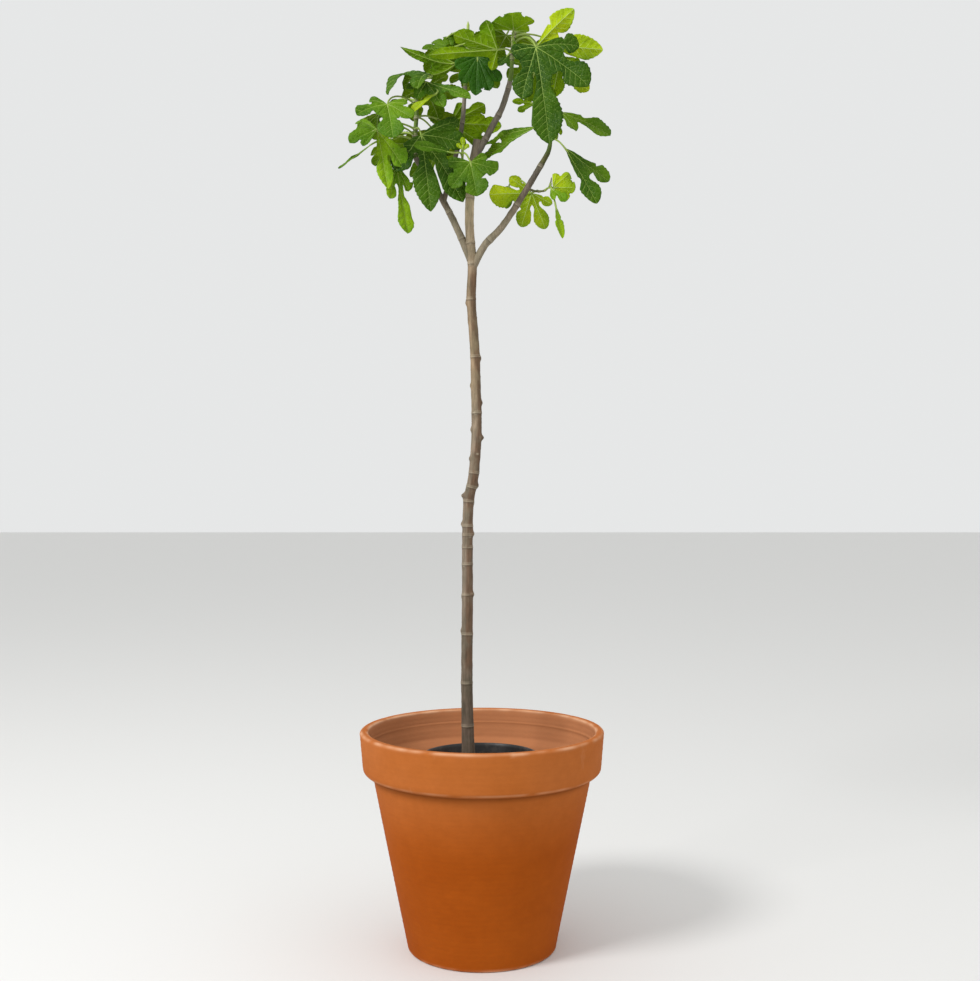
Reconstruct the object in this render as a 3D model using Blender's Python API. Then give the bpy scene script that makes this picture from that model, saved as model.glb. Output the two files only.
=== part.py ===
"""A young fig grown as a standard: a clear stem, four boughs and a crown of big lobed
leaves. It stands in a black nursery pot inside a plain terracotta pot.

The frame is in metres, +Z up, with the origin at the centre of the terracotta pot's
flat underside. The front of the tree faces -Y, and +X is to its right.
"""

import math
import random

import bmesh
import bpy
import numpy as np

CM = 0.01
GAP = 0.0003  # between neighbours that touch
DOWN = np.array((0.0, 0.0, -1.0))

# Terracotta pot, in metres: a straight cone under a thick rolled rim.
POT_HEIGHT = 0.355
POT_FOOT_RADIUS = 0.122
POT_NECK_RADIUS = 0.1795
RIM_RADIUS = 0.200
RIM_BOTTOM_RADIUS = 0.1955
RIM_DEPTH = 0.070
RIM_LOWER_ROUNDING = 0.012
RIM_TOP_ROUNDING = 0.005
MOUTH_RADIUS = 0.186
LEDGE_DEPTH = 0.025
LEDGE_STEP = 0.002
POT_WALL = 0.0155
POT_FLOOR = 0.018
FOOT_ROUNDING = 0.003
POT_SIDES = 40

# Nursery pot, hung with its rim 4 cm under the big pot's rim and packed round with compost.
NURSERY_RIM_RADIUS = 0.0965
NURSERY_RIM_TOP = 0.3125
NURSERY_RIM_DEPTH = 0.014
NURSERY_TOP_RADIUS = 0.0925
NURSERY_FOOT_RADIUS = 0.071
NURSERY_DEPTH = 0.155
NURSERY_WALL = 0.0016
NURSERY_CENTRE = (-0.003, 0.0)
NURSERY_SIDES = 40
COMPOST_TOP = 0.298
FILL_TOP = 0.264

# Limbs. Places in the crown are in centimetres as they show from the front: x and z in
# the plane through the pot's axis, and y the depth behind that plane. The eye they show
# to is level, this high and this far in front of the axis.
EYE = (1.3, -203.0, 74.7)
TRUNK_SIDES = 10
BOUGH_SIDES = 8
SHOOT_SIDES = 7
STALK_SIDES = 4
TRUNK_STEPS = 4  # rings from one place of its route to the next
BOUGH_STEPS = 4
TRUNK = (
    (-2.2, 0.0, 29.83), (-2.3, 0.0, 33), (-2.5, 0.0, 44), (-2.4, 0.3, 56), (-2.4, 0.5, 66),
    (-2.2, 0.6, 73), (-1.4, 0.2, 77), (-0.9, 0.0, 84), (-1.0, 0.3, 91), (-1.2, 0.5, 98),
    (-1.8, 0.3, 106), (-1.6, 0.0, 111.5), (-2.1, 0.0, 119), (-1.7, 0.2, 127), (-0.7, 0.4, 132.3),
)
TRUNK_FOOT_RADIUS = 0.98
TRUNK_TIP_RADIUS = 0.70
FLARE = 0.26
FLARE_HEIGHT = 3.0
# ring scars where leaves once stood, as heights, and the stubs and buds that stand out
SCARS = (36, 43, 51, 57.5, 62.5, 65.3, 67.3, 68.8, 72.9, 75.3, 77.6, 87.4, 96.7, 106.2, 112, 115.4, 122.9)
STUBS = (  # height, degrees round from +X, how far it stands out
    (51.6, 180, 0.18), (57.6, 0, 0.18), (67.6, 0, 0.22), (69.2, 180, 0.25), (73.7, 185, 0.50),
    (75.7, 0, 0.25), (79.9, 190, 0.22), (80.7, 290, 0.20), (83.4, 5, 0.42), (84.7, 180, 0.22),
    (87.4, 250, 0.15), (89.1, 0, 0.24), (92.0, 180, 0.16), (96.4, 0, 0.18), (105.6, 180, 0.22),
)
BOUGHS = {
    "bough_right": (
        ((-1.6, 0.0, 111.2), (0.4, -0.4, 115.0), (3.3, -1.2, 118.1), (6.8, -2.2, 123.4), (9.9, -3.2, 128.6)),
        0.64, 0.46),
    "bough_left": (
        ((-1.9, 0.0, 112.6), (-4.0, 0.6, 117.6), (-6.2, 1.2, 122), (-8.8, 1.6, 126.4), (-10.9, 1.4, 129.4)),
        0.62, 0.46),
    "bough_upright": (
        ((-6.3, 1.2, 122.2), (-5.2, 2.0, 126.5), (-4.0, 2.2, 131), (-3.2, 2.0, 135.5), (-2.8, 1.4, 141.2)),
        0.42, 0.34),
    "bough_top": (
        ((-1.1, 0.3, 129.6), (0.6, 0.3, 132.6), (2.0, -0.1, 135.2), (3.4, -0.6, 137.9), (4.6, -1.1, 142)),
        0.58, 0.44),
}
BOUGH_SCARS = {
    "bough_right": (0.27, 0.62, 0.97),
    "bough_left": (0.2, 0.45, 0.8),
    "bough_upright": (0.3, 0.7),
    "bough_top": (0.25, 0.58, 0.92),
}
SCAR_SWELL = 0.10
SCAR_LENGTH = 0.45
STUB_LENGTH = 0.45

# Leaves. A shape has its lobes, each as its angle from the midrib, its length and its half
# width, and then how far out each notch between two lobes lies. All but the angles are
# shares of the midrib's length.
SHAPES = {
    "five": (((-104, 0.55, 0.16), (-50, 0.82, 0.19), (0, 1, 0.20), (50, 0.82, 0.19), (104, 0.55, 0.16)),
             (0.34, 0.42, 0.42, 0.34)),
    "palm": (((-100, 0.60, 0.20), (-52, 0.90, 0.25), (0, 1, 0.25), (52, 0.90, 0.25), (100, 0.60, 0.20)),
             (0.48, 0.60, 0.60, 0.48)),
    "narrow": (((-36, 0.72, 0.13), (0, 1, 0.16), (36, 0.72, 0.13)), (0.45, 0.45)),
    "slim": (((0, 1, 0.16),), ()),
    "ribbon": (((0, 1, 0.045),), ()),
}
LEAF_THICKNESS = 0.0022
STALK_RADIUS = 0.0016
STALK_TIP_RADIUS = 0.0013
STALK_SINK = 0.009
STALK_BEHIND = 0.02
STALK_LIFT = 0.22
STALK_STEPS = 5
RIB_STEPS = 16
INNER_ROWS = 1
OUTER_ROWS = 3
ARCH = 0.18
WAIST = 0.75
SECTOR = 0.88
VARIETY_SEED = 7
ANGLE_VARIETY = 5
LENGTH_VARIETY = 0.08

# Leaves on the far side of the crown: where each would show from the front, behind the
# leaves there, its length in centimetres, and its shape. The rest of them follows a rule.
FAR_SIDE = {
    "foliage_top": (
        (9.5, 147.5, 9.5, "five"), (13, 146, 8.5, "five"), (4, 149.6, 8, "five"), (8.7, 143.5, 6.5, "palm")),
    "foliage_upright": ((-2, 147.5, 8.5, "five"), (-6.5, 147.8, 7.5, "five"), (-1, 143.5, 6, "palm")),
    "foliage_left": (
        (-17, 136.8, 7.5, "five"), (-15.4, 132, 6, "palm"), (-9.2, 140.8, 8, "five"), (-8, 134, 9, "five"),
        (-7.8, 130.2, 7.5, "five")),
    "foliage_centre": (),
    "foliage_right": ((10.9, 139.5, 7, "narrow"), (10.6, 137.0, 6.5, "narrow")),
    "foliage_low_right": ((4.4, 124.8, 6, "narrow"),),
}
FAR_DEPTH = (4.0, 7.0)
FAR_TURN = 25
FAR_DIP = (15, 35)
FAR_FACE_RISE = 45
FAR_FAN = 5  # degrees that a leaf's face turns outwards for each centimetre from the middle
FAR_MIDDLE = -1
FAR_FAN_REACH = 10


def unit(v):
    v = np.asarray(v, float)
    return v / np.linalg.norm(v)


def across_to(v, along):
    """v with its part along the unit vector taken out, as a unit vector."""
    return unit(v - np.dot(v, along) * along)


def compass(degrees_round, degrees_up):
    """Unit vector: 0 is +X, 90 is +Y, and the second angle is above level."""
    turn, rise = math.radians(degrees_round), math.radians(degrees_up)
    return np.array((math.cos(turn) * math.cos(rise), math.sin(turn) * math.cos(rise), math.sin(rise)))


def at(place):
    """The real point, in metres, of a place given as it shows from the front."""
    x, depth, z = place
    grown = (depth - EYE[1]) / -EYE[1]
    return np.array((EYE[0] + (x - EYE[0]) * grown, depth, EYE[2] + (z - EYE[2]) * grown)) * CM


def leaf(hub, tip, face, shape="five", droop=0.1, cup=0, widest=0.66, point=0.6):
    """One leaf: where its blade meets its stalk, the end of its midrib, and the way its
    upper side looks as degrees round from +X and degrees above level. Its lobes are widest
    at a share of their length, and a higher point makes their ends sharper."""
    lobes, notches = SHAPES[shape] if isinstance(shape, str) else shape
    return dict(hub=at(hub), tip=at(tip), face=compass(*face), lobes=lobes, notches=notches,
                droop=droop, cup=cup, widest=widest, point=point)


def smooth(t):
    t = min(max(t, 0.0), 1.0)
    return t * t * (3 - 2 * t)


# Each mass: the limb that carries it, its leafy shoot's places and two radii, and the
# leaves that show from the front.
MASSES = {
    "foliage_top": (
        "bough_top", ((4.9, -1.6, 145), (5.1, -2.0, 148), (5.2, -2.3, 150.6)), 0.42, 0.20,
        (
            leaf((8.9, -9, 147.6), (11.1, -11, 131.9), (-95, 15), droop=0.3, widest=0.72, point=0.75, shape=(
                ((-94, 0.43, 0.11), (-50, 0.67, 0.15), (0, 1, 0.165), (26, 0.56, 0.13), (100, 0.25, 0.11)),
                (0.28, 0.35, 0.27, 0.22))),
            leaf((9.0, -6, 147.8), (19.9, -7, 147.2), (95, 15), widest=0.56, point=0.7, shape=(
                ((-30, 0.50, 0.13), (0, 1, 0.20), (46, 0.76, 0.17)), (0.36, 0.36))),
            leaf((12.6, -4, 144.6), (17.6, -5, 140.4), (100, 20), shape=(
                ((0, 1, 0.19), (22, 0.85, 0.15)), (0.6,))),
            leaf((5.2, -4, 150.4), (4.9, -9, 153.5), (90, 40), shape=(
                ((-102, 0.50, 0.22), (-52, 0.80, 0.26), (0, 1, 0.24), (44, 0.86, 0.24), (74, 0.88, 0.18)),
                (0.44, 0.72, 0.78, 0.74))),
            leaf((5.0, -4.5, 149.4), (5.7, -5, 146.6), (-60, 20), shape="slim", droop=0),
            leaf((4.6, 1.2, 146.6), (2.6, 0.6, 144.6), (-100, 10), droop=0, shape=(
                ((-45, 0.90, 0.33), (0, 1, 0.34)), (0.7,))),
            leaf((2.5, -5.5, 147.2), (-9.0, -8, 146.3), (90, 25), droop=0.05, point=0.7, shape=(
                ((-70, 0.42, 0.12), (-21, 0.66, 0.14), (0, 1, 0.085), (72, 0.28, 0.08)), (0.33, 0.50, 0.16))),
        )),
    "foliage_upright": (
        "bough_upright", ((-2.6, 1.3, 144.5), (-2.3, 1.2, 148), (-2.3, 1.2, 150.2), (-2.3, 1.2, 151.3)), 0.33, 0.24,
        (
            leaf((-0.7, -2.5, 146.0), (-1.0, -4, 139.7), (-90, 15), droop=0.2, shape=(
                ((-78, 0.45, 0.24), (-48, 0.82, 0.22), (-22, 0.92, 0.20), (0, 1, 0.20), (30, 0.78, 0.22),
                 (68, 0.58, 0.24)), (0.42, 0.76, 0.86, 0.72, 0.52))),
            leaf((-5.0, 3.5, 147.5), (-9.9, 3, 147.3), (-90, 40), shape=(
                ((0, 1, 0.22), (30, 0.75, 0.20), (84, 0.72, 0.30)), (0.6, 0.5))),
            leaf((-4.3, 0.5, 145.0), (-13.4, -1.5, 147.7), (80, 10), droop=-1.8, widest=0.5, point=0.9, shape=(
                ((-18, 0.50, 0.09), (0, 1, 0.085), (36, 0.62, 0.13)), (0.44, 0.42))),
        )),
    "foliage_left": (
        "bough_left", ((-11.1, 1.0, 132.2), (-10.8, 0.6, 136), (-10.8, 0.3, 139.5), (-10.8, 0, 141.8)), 0.45, 0.20,
        (
            leaf((-15.6, -8, 138.2), (-14.6, -11, 132.6), (-95, 35), droop=0.35, cup=10, shape=(
                ((-94, 0.46, 0.16), (-48, 0.74, 0.22), (0, 1, 0.32), (84, 0.76, 0.21), (124, 0.42, 0.16)),
                (0.38, 0.54, 0.42, 0.34))),
            leaf((-17.3, -5.2, 134.1), (-21.8, -7, 131.9), (-100, 30), shape=(
                ((-27, 0.85, 0.20), (0, 1, 0.30), (77, 0.72, 0.24)), (0.70, 0.60))),
            leaf((-17.3, -3.6, 133.9), (-15.4, -6, 124.4), (-80, 10), point=0.75, shape=(
                ((-26, 0.72, 0.20), (0, 1, 0.13)), (0.46,))),
            leaf((-17.8, -2.4, 131.9), (-23.6, -5, 127.5), (-60, 55), shape="ribbon", droop=0.2),
            leaf((-14.2, -3, 128.6), (-12.2, -4, 117.0), (-60, 0), widest=0.8, shape=(
                ((-17, 0.42, 0.10), (0, 1, 0.12), (20, 0.54, 0.09)), (0.32, 0.30))),
            leaf((-10.0, -3, 133.2), (-8.4, -6, 120.8), (-90, 15), droop=0.2, widest=0.62, point=0.75, shape=(
                ((-112, 0.50, 0.13), (-76, 0.56, 0.09), (-25, 1.02, 0.17), (0, 1, 0.175), (44, 0.57, 0.17)),
                (0.42, 0.40, 0.36, 0.24))),
            leaf((-8.2, -4, 143.0), (-15.6, -7, 139.9), (-120, 60), droop=0.8, shape=(
                ((-40, 0.62, 0.18), (0, 1, 0.21), (40, 0.62, 0.18)), (0.48, 0.48))),
            leaf((-9.2, -3.5, 141.9), (-1.9, -5, 139.1), (-80, 30), droop=0.15, shape=(
                ((0, 1, 0.15), (38, 0.78, 0.16), (88, 0.52, 0.15), (135, 0.44, 0.14)), (0.50, 0.38, 0.32))),
            leaf((-7.4, -6, 140.0), (-11.8, -7, 136.6), (-60, 50), shape="slim", droop=0.3),
            leaf((-5.2, 4.5, 135.1), (3.2, 4.5, 134.7), (90, 15), droop=0.05, shape=(
                ((-30, 0.72, 0.20), (0, 1, 0.18), (30, 0.76, 0.20), (58, 0.45, 0.17)), (0.64, 0.68, 0.40))),
        )),
    "foliage_centre": (
        "trunk", ((-1.9, 0.0, 124.6), (-2.7, -1.7, 126.6), (-3.2, -3.0, 128.8), (-3.3, -3.6, 130.7)), 0.26, 0.14,
        (
            leaf((-1.9, -6, 128.7), (-0.8, -8, 123.2), (-90, 20), shape=(
                ((-108, 0.46, 0.18), (-66, 0.74, 0.30), (0, 1, 0.36), (46, 0.88, 0.25), (108, 0.58, 0.20)),
                (0.40, 0.54, 0.62, 0.48))),
            leaf((-4.9, -7, 130.2), (-11.3, -9, 131.4), (-90, 20), shape="slim"),
            leaf((-3.1, -4.2, 130.6), (-3.2, -5, 132.9), (90, 20), droop=0, shape=(
                ((-42, 0.62, 0.20), (0, 1, 0.22), (38, 0.70, 0.19)), (0.36, 0.40))),
        )),
    "foliage_right": (
        "bough_right", ((11.1, -3.8, 131), (11.3, -4, 134), (11.2, -4, 136.8)), 0.44, 0.16,
        (
            leaf((9.0, -2, 134.6), (0.9, 4.5, 131.7), (-90, 28), widest=0.55, point=0.9, shape=(
                ((-20, 1.22, 0.13), (0, 1.06, 0.15)), (0.62,))),
            leaf((13.7, -6, 131.0), (18.9, -7, 121.9), (-80, 25), widest=0.72, shape=(
                ((-28, 0.84, 0.16), (0, 1, 0.16)), (0.56,))),
            leaf((13.1, -1, 136.9), (21.1, -2, 133.1), (-85, 30), droop=0.25, widest=0.70, shape=(
                ((0, 1, 0.19), (36, 0.50, 0.16)), (0.36,))),
            leaf((8.8, -1, 138.3), (5.0, -2, 138.7), (60, 20), droop=0.15, shape=(
                ((0, 1, 0.14), (28, 0.80, 0.17)), (0.45,))),
        )),
    "foliage_low_right": (
        "side of bough_right",
        ((7.4, -2.2, 124.4), (8.9, -1.6, 123.9), (10.4, -2.4, 124.1), (11.2, -3.2, 124.9), (11.4, -3.4, 126)),
        0.20, 0.10,
        (
            leaf((8.2, 1, 123.6), (1.2, 0.5, 123.4), (90, 5), droop=0.05, shape=(
                ((-36, 0.64, 0.15), (0, 1, 0.32), (71, 0.82, 0.20), (112, 0.88, 0.19), (154, 0.54, 0.12)),
                (0.30, 0.44, 0.26, 0.26))),
            leaf((11.7, -4, 124.5), (15.4, -5, 124.5), (90, 10), shape=(
                ((-40, 0.84, 0.28), (0, 1, 0.32), (40, 0.94, 0.30), (76, 0.62, 0.26)), (0.82, 0.90, 0.74))),
            leaf((11.3, -5, 124.4), (13.8, -6, 122.2), (-90, 30), shape=(
                ((0, 1, 0.28), (34, 0.70, 0.22)), (0.5,))),
            leaf((12.1, -6, 121.6), (13.3, -6, 116.2), (-60, 10), shape="slim", droop=0, widest=0.52, point=0.75),
        )),
}


def route(places, steps):
    """A smooth line through places of the crown, with so many points from each to the next."""
    real = [at(place) for place in places]
    real = [2 * real[0] - real[1], *real, 2 * real[-1] - real[-2]]
    found = []
    for a, b, c, d in zip(real, real[1:], real[2:], real[3:]):
        for t in np.arange(steps) / steps:
            found.append(0.5 * (2 * b + (c - a) * t + (2 * a - 5 * b + 4 * c - d) * t ** 2
                                + (3 * b - a - 3 * c + d) * t ** 3))
    return np.array(found + [real[-2]])


def material(name, colour, roughness):
    made = bpy.data.materials.new(name)
    made.use_nodes = True
    shader = made.node_tree.nodes["Principled BSDF"]
    shader.inputs["Base Color"].default_value = (*colour, 1)
    shader.inputs["Roughness"].default_value = roughness
    return made


def add_object(name, points, faces, finish, smooth_shading=True):
    mesh = bpy.data.meshes.new(name)
    mesh.from_pydata([tuple(p) for p in points], [], faces)
    mesh.validate()
    work = bmesh.new()
    work.from_mesh(mesh)
    bmesh.ops.remove_doubles(work, verts=work.verts, dist=1e-6)
    bmesh.ops.recalc_face_normals(work, faces=work.faces)
    work.to_mesh(mesh)
    work.free()
    if smooth_shading:
        mesh.shade_smooth()
        mesh.set_sharp_from_angle(angle=math.radians(40))
    mesh.materials.append(finish)
    made = bpy.data.objects.new(name, mesh)
    bpy.context.collection.objects.link(made)
    return made


def turned(name, outline, sides, finish, centre=(0.0, 0.0)):
    """A closed body turned from an outline of (radius, height) that starts and ends on the axis."""
    points, faces = [], []
    for k in range(sides):
        turn = 2 * math.pi * k / sides
        points += [(r * math.cos(turn), r * math.sin(turn), z) for r, z in outline]
    rows = len(outline)
    for k in range(sides):
        here, after = k * rows, (k + 1) % sides * rows
        for i in range(rows - 1):
            faces.append((here + i, after + i, after + i + 1, here + i + 1))
    made = add_object(name, points, faces, finish)
    made.location = (*centre, 0)
    return made


def rounding(centre, radius, start, end, steps=4):
    """Points of an arc in the (radius, height) plane, in degrees."""
    angles = [math.radians(start + (end - start) * k / steps) for k in range(steps + 1)]
    return [(centre[0] + radius * math.cos(a), centre[1] + radius * math.sin(a)) for a in angles]


def terracotta_pot(finish):
    rim_bottom = POT_HEIGHT - RIM_DEPTH
    low, high = RIM_LOWER_ROUNDING, RIM_TOP_ROUNDING
    slope = (POT_NECK_RADIUS - POT_FOOT_RADIUS) / rim_bottom
    ledge = POT_HEIGHT - LEDGE_DEPTH
    outline = [(0, 0)]
    outline += rounding((POT_FOOT_RADIUS - FOOT_ROUNDING, FOOT_ROUNDING), FOOT_ROUNDING, -90, 0)
    outline.append((POT_NECK_RADIUS, rim_bottom))
    outline += rounding((RIM_BOTTOM_RADIUS - low, rim_bottom + low), low, -90, 0)
    outline += rounding((RIM_RADIUS - high, POT_HEIGHT - high), high, 0, 90)
    outline += rounding((MOUTH_RADIUS + high, POT_HEIGHT - high), high, 90, 180)
    outline.append((MOUTH_RADIUS, ledge + LEDGE_STEP))
    outline.append((MOUTH_RADIUS - LEDGE_STEP, ledge))
    outline.append((MOUTH_RADIUS - LEDGE_STEP - 0.003, rim_bottom + 0.02))
    outline.append((POT_NECK_RADIUS - POT_WALL, rim_bottom - 0.01))
    outline.append((POT_FOOT_RADIUS + slope * POT_FLOOR - POT_WALL, POT_FLOOR))
    outline.append((0, POT_FLOOR))
    return turned("terracotta_pot", outline, POT_SIDES, finish)


def pot_inside(height):
    """Radius of the terracotta pot's inner wall at a height under its rim."""
    rim_bottom = POT_HEIGHT - RIM_DEPTH
    slope = (POT_NECK_RADIUS - POT_FOOT_RADIUS) / rim_bottom
    return POT_FOOT_RADIUS + slope * height - POT_WALL


def nursery_outside(height):
    foot = NURSERY_RIM_TOP - NURSERY_DEPTH
    share = (height - foot) / (NURSERY_RIM_TOP - NURSERY_RIM_DEPTH - foot)
    return NURSERY_FOOT_RADIUS + (NURSERY_TOP_RADIUS - NURSERY_FOOT_RADIUS) * share


def nursery_pot(finish):
    foot = NURSERY_RIM_TOP - NURSERY_DEPTH
    skirt = NURSERY_RIM_TOP - NURSERY_RIM_DEPTH
    wall = NURSERY_WALL
    outline = [
        (0, foot),
        (NURSERY_FOOT_RADIUS, foot),
        (NURSERY_TOP_RADIUS, skirt),
        (NURSERY_RIM_RADIUS - wall, skirt + 0.001),
        (NURSERY_RIM_RADIUS, NURSERY_RIM_TOP - wall),
        (NURSERY_RIM_RADIUS - wall / 2, NURSERY_RIM_TOP),
        (NURSERY_RIM_RADIUS - 2 * wall, NURSERY_RIM_TOP),
        (NURSERY_TOP_RADIUS - wall, skirt),
        (NURSERY_FOOT_RADIUS - wall, foot + wall),
        (0, foot + wall),
    ]
    return turned("nursery_pot", outline, NURSERY_SIDES, finish, NURSERY_CENTRE)


def pot_fill(finish):
    """The compost between the two pots: it carries the nursery pot and wraps its lower part."""
    foot = NURSERY_RIM_TOP - NURSERY_DEPTH
    shift = math.hypot(*NURSERY_CENTRE)
    outline = [
        (0, POT_FLOOR + GAP),
        (pot_inside(POT_FLOOR) - 2 * GAP, POT_FLOOR + GAP),
        (pot_inside(FILL_TOP) - 2 * GAP, FILL_TOP),
        (nursery_outside(FILL_TOP) + shift + 2 * GAP, FILL_TOP),
        (nursery_outside(foot) + shift + 2 * GAP, foot - GAP),
        (0, foot - GAP),
    ]
    return turned("pot_fill", outline, NURSERY_SIDES, finish)


def compost(finish):
    """The compost that the tree stands in, level under the nursery pot's rim."""
    foot = NURSERY_RIM_TOP - NURSERY_DEPTH + NURSERY_WALL
    inset = NURSERY_WALL + 2 * GAP
    outline = [
        (0, foot + GAP),
        (nursery_outside(foot) - inset, foot + GAP),
        (nursery_outside(COMPOST_TOP) - inset, COMPOST_TOP),
        (0, COMPOST_TOP),
    ]
    return turned("compost", outline, NURSERY_SIDES, finish, NURSERY_CENTRE)


def tube(name, line, radii, sides, finish, first=0, last=None, bumps=(), level_start=False):
    """A limb with flat ends round the points of a line from first to last. A bump is its
    distance along the limb, degrees round, height, and reach along the limb."""
    last = len(line) - 1 if last is None else last
    run = run_of(line)
    sideways = np.array((1.0, 0.0, 0.0))
    points, faces = [], []
    for k in range(first, last + 1):
        along = unit(line[min(k + 1, len(line) - 1)] - line[max(k - 1, 0)])
        if level_start and k == first:
            along = -DOWN
        sideways = across_to(sideways, along)
        forward = np.cross(along, sideways)
        centre = line[k] + along * GAP if k == first and first > 0 else line[k]
        for i in range(sides):
            turn = 2 * math.pi * i / sides
            reach = radii[k]
            for where, around, height, length in bumps:
                facing = max(0.0, math.cos(turn - math.radians(around))) ** 4
                reach += height * facing * math.exp(-((run[k] - where) / length) ** 2)
            points.append(centre + (sideways * math.cos(turn) + forward * math.sin(turn)) * reach)
    rings = last - first + 1
    for k in range(rings - 1):
        for i in range(sides):
            j = (i + 1) % sides
            faces.append((k * sides + i, k * sides + j, (k + 1) * sides + j, (k + 1) * sides + i))
    faces.append(tuple(range(sides))[::-1])
    faces.append(tuple((rings - 1) * sides + i for i in range(sides)))
    return add_object(name, points, faces, finish)


def run_of(line):
    """How far along the line each of its points is."""
    return np.concatenate(([0], np.cumsum(np.linalg.norm(np.diff(line, axis=0), axis=1))))


def swollen(radii, run, scars):
    """Radii with a low ring at each scar, given by its distance along the limb."""
    rings = [sum(math.exp(-((s - scar) / (SCAR_LENGTH * CM)) ** 2) for scar in scars) for s in run]
    return [radius * (1 + SCAR_SWELL * ring) for radius, ring in zip(radii, rings)]


def trunk(finish, name="trunk", grown=0.0):
    """The clear stem and the leader, from its flat cut on the compost to its pruned tip."""
    line = route(TRUNK, TRUNK_STEPS)
    run = run_of(line)
    radii = []
    for s in run:
        radius = TRUNK_FOOT_RADIUS + (TRUNK_TIP_RADIUS - TRUNK_FOOT_RADIUS) * s / run[-1]
        radii.append((radius + FLARE * math.exp(-s / (FLARE_HEIGHT * CM))) * CM + grown)
    radii = swollen(radii, run, np.interp([z * CM for z in SCARS], line[:, 2], run))
    heights = np.interp([stub[0] * CM for stub in STUBS], line[:, 2], run)
    bumps = [(s, around, high * CM, STUB_LENGTH * CM) for s, (_, around, high) in zip(heights, STUBS)]
    return tube(name, line, radii, TRUNK_SIDES, finish, bumps=bumps, level_start=True)


def shoot_of(bough_name):
    for mass, (carrier, *_) in MASSES.items():
        if carrier == bough_name:
            return mass


def limb_line(bough_name):
    """One smooth line through a bough and the leafy shoot that it ends in, and where they meet."""
    places = BOUGHS[bough_name][0]
    return route(places + MASSES[shoot_of(bough_name)][1], BOUGH_STEPS), (len(places) - 1) * BOUGH_STEPS


def bough(bough_name, finish, name=None, grown=0.0):
    _, thick, thin = BOUGHS[bough_name]
    line, end = limb_line(bough_name)
    run = run_of(line)
    radii = [(thick + (thin - thick) * min(s / run[end], 1)) * CM + grown for s in run]
    radii = swollen(radii, run, [share * run[end] for share in BOUGH_SCARS[bough_name]])
    return tube(name or bough_name, line, radii, BOUGH_SIDES, finish, last=end)


def rib(start, heading, length, droop):
    """Centre line of a lobe: it sets off along its heading and sinks towards the ground."""
    points = [np.array(start, float)]
    for k in range(1, RIB_STEPS + 1):
        sag = droop * k / RIB_STEPS
        points.append(points[-1] + unit((1 - sag) * heading + sag * DOWN) * length / RIB_STEPS)
    return np.array(points)


def aimed(goal, droop):
    """The heading and the length gain with which a drooping rib still ends at its goal."""
    heading = goal
    for _ in range(4):
        end = rib((0, 0, 0), heading, 1, droop)[-1]
        heading = unit(heading + goal - unit(end))
    return heading, 1 / np.linalg.norm(rib((0, 0, 0), heading, 1, droop)[-1])


def on_line(line, share):
    """Point and direction at a share of a line's steps."""
    s = min(max(share, 0.0), 1.0) * (len(line) - 1)
    k = min(int(s), len(line) - 2)
    return line[k] + (line[k + 1] - line[k]) * (s - k), unit(line[k + 1] - line[k])


def leaf_ribs(row):
    """The leaf's headings and one centre line for each lobe."""
    hub, tip = row["hub"], row["tip"]
    forward, gain = aimed(unit(tip - hub), row["droop"])
    length = np.linalg.norm(tip - hub) * gain
    face = across_to(row["face"], forward)
    side = np.cross(forward, face)
    lobes = []
    for angle, share, half in row["lobes"]:
        turn = math.radians(angle)
        lift = math.radians(row["cup"]) * abs(math.sin(turn))
        flat = forward * math.cos(turn) + side * math.sin(turn)
        heading = flat * math.cos(lift) + face * math.sin(lift)
        lobes.append(dict(
            turn=turn, length=length * share, half=half * length,
            side=side * math.cos(turn) - forward * math.sin(turn),
            line=rib(hub, heading, length * share, row["droop"])))
    return hub, forward, lobes


def half_width(u, start_u, start_width, widest, half, point):
    """Half width of a lobe at a share u of its length, past the notch beside it."""
    if start_u > widest - 0.05:
        widest, half = start_u, start_width
    if u < widest:
        way = (u - start_u) / (widest - start_u)
        waist = WAIST * start_width * math.sin(math.pi * way) * (1 - way)
        return start_width + (half - start_width) * smooth(way) - waist
    return half * max(0.0, 1 - ((u - widest) / (1 - widest)) ** 2) ** point


def notch_reaches(row, lobes):
    """How far each notch lies from the hub, always short of the lobes beside it."""
    midrib = min(lobes, key=lambda lobe: abs(lobe["turn"]))["length"]
    pairs = zip(lobes, lobes[1:])
    return [min(share * midrib, 0.93 * min(a["length"], b["length"])) for share, (a, b) in zip(row["notches"], pairs)]


def notch_free(lobe, beside):
    """The share of a lobe's length at which it leaves its neighbours."""
    known = [reach for reach in beside if reach] or [0.4 * lobe["length"]]
    return min(0.92 * sum(known) / len(known) / lobe["length"], 0.85)


def seam_point(row, hub, forward, a, b, reach):
    """Point between two lobes at a distance from the hub, raised like the edges further out."""
    way = unit(sum(on_line(lobe["line"], reach / lobe["length"])[0] - hub for lobe in (a, b)))
    rise = ARCH * reach * math.sin(abs(b["turn"] - a["turn"]) / 2)
    return hub + way * reach + across_to(row["face"], forward) * rise


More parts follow.
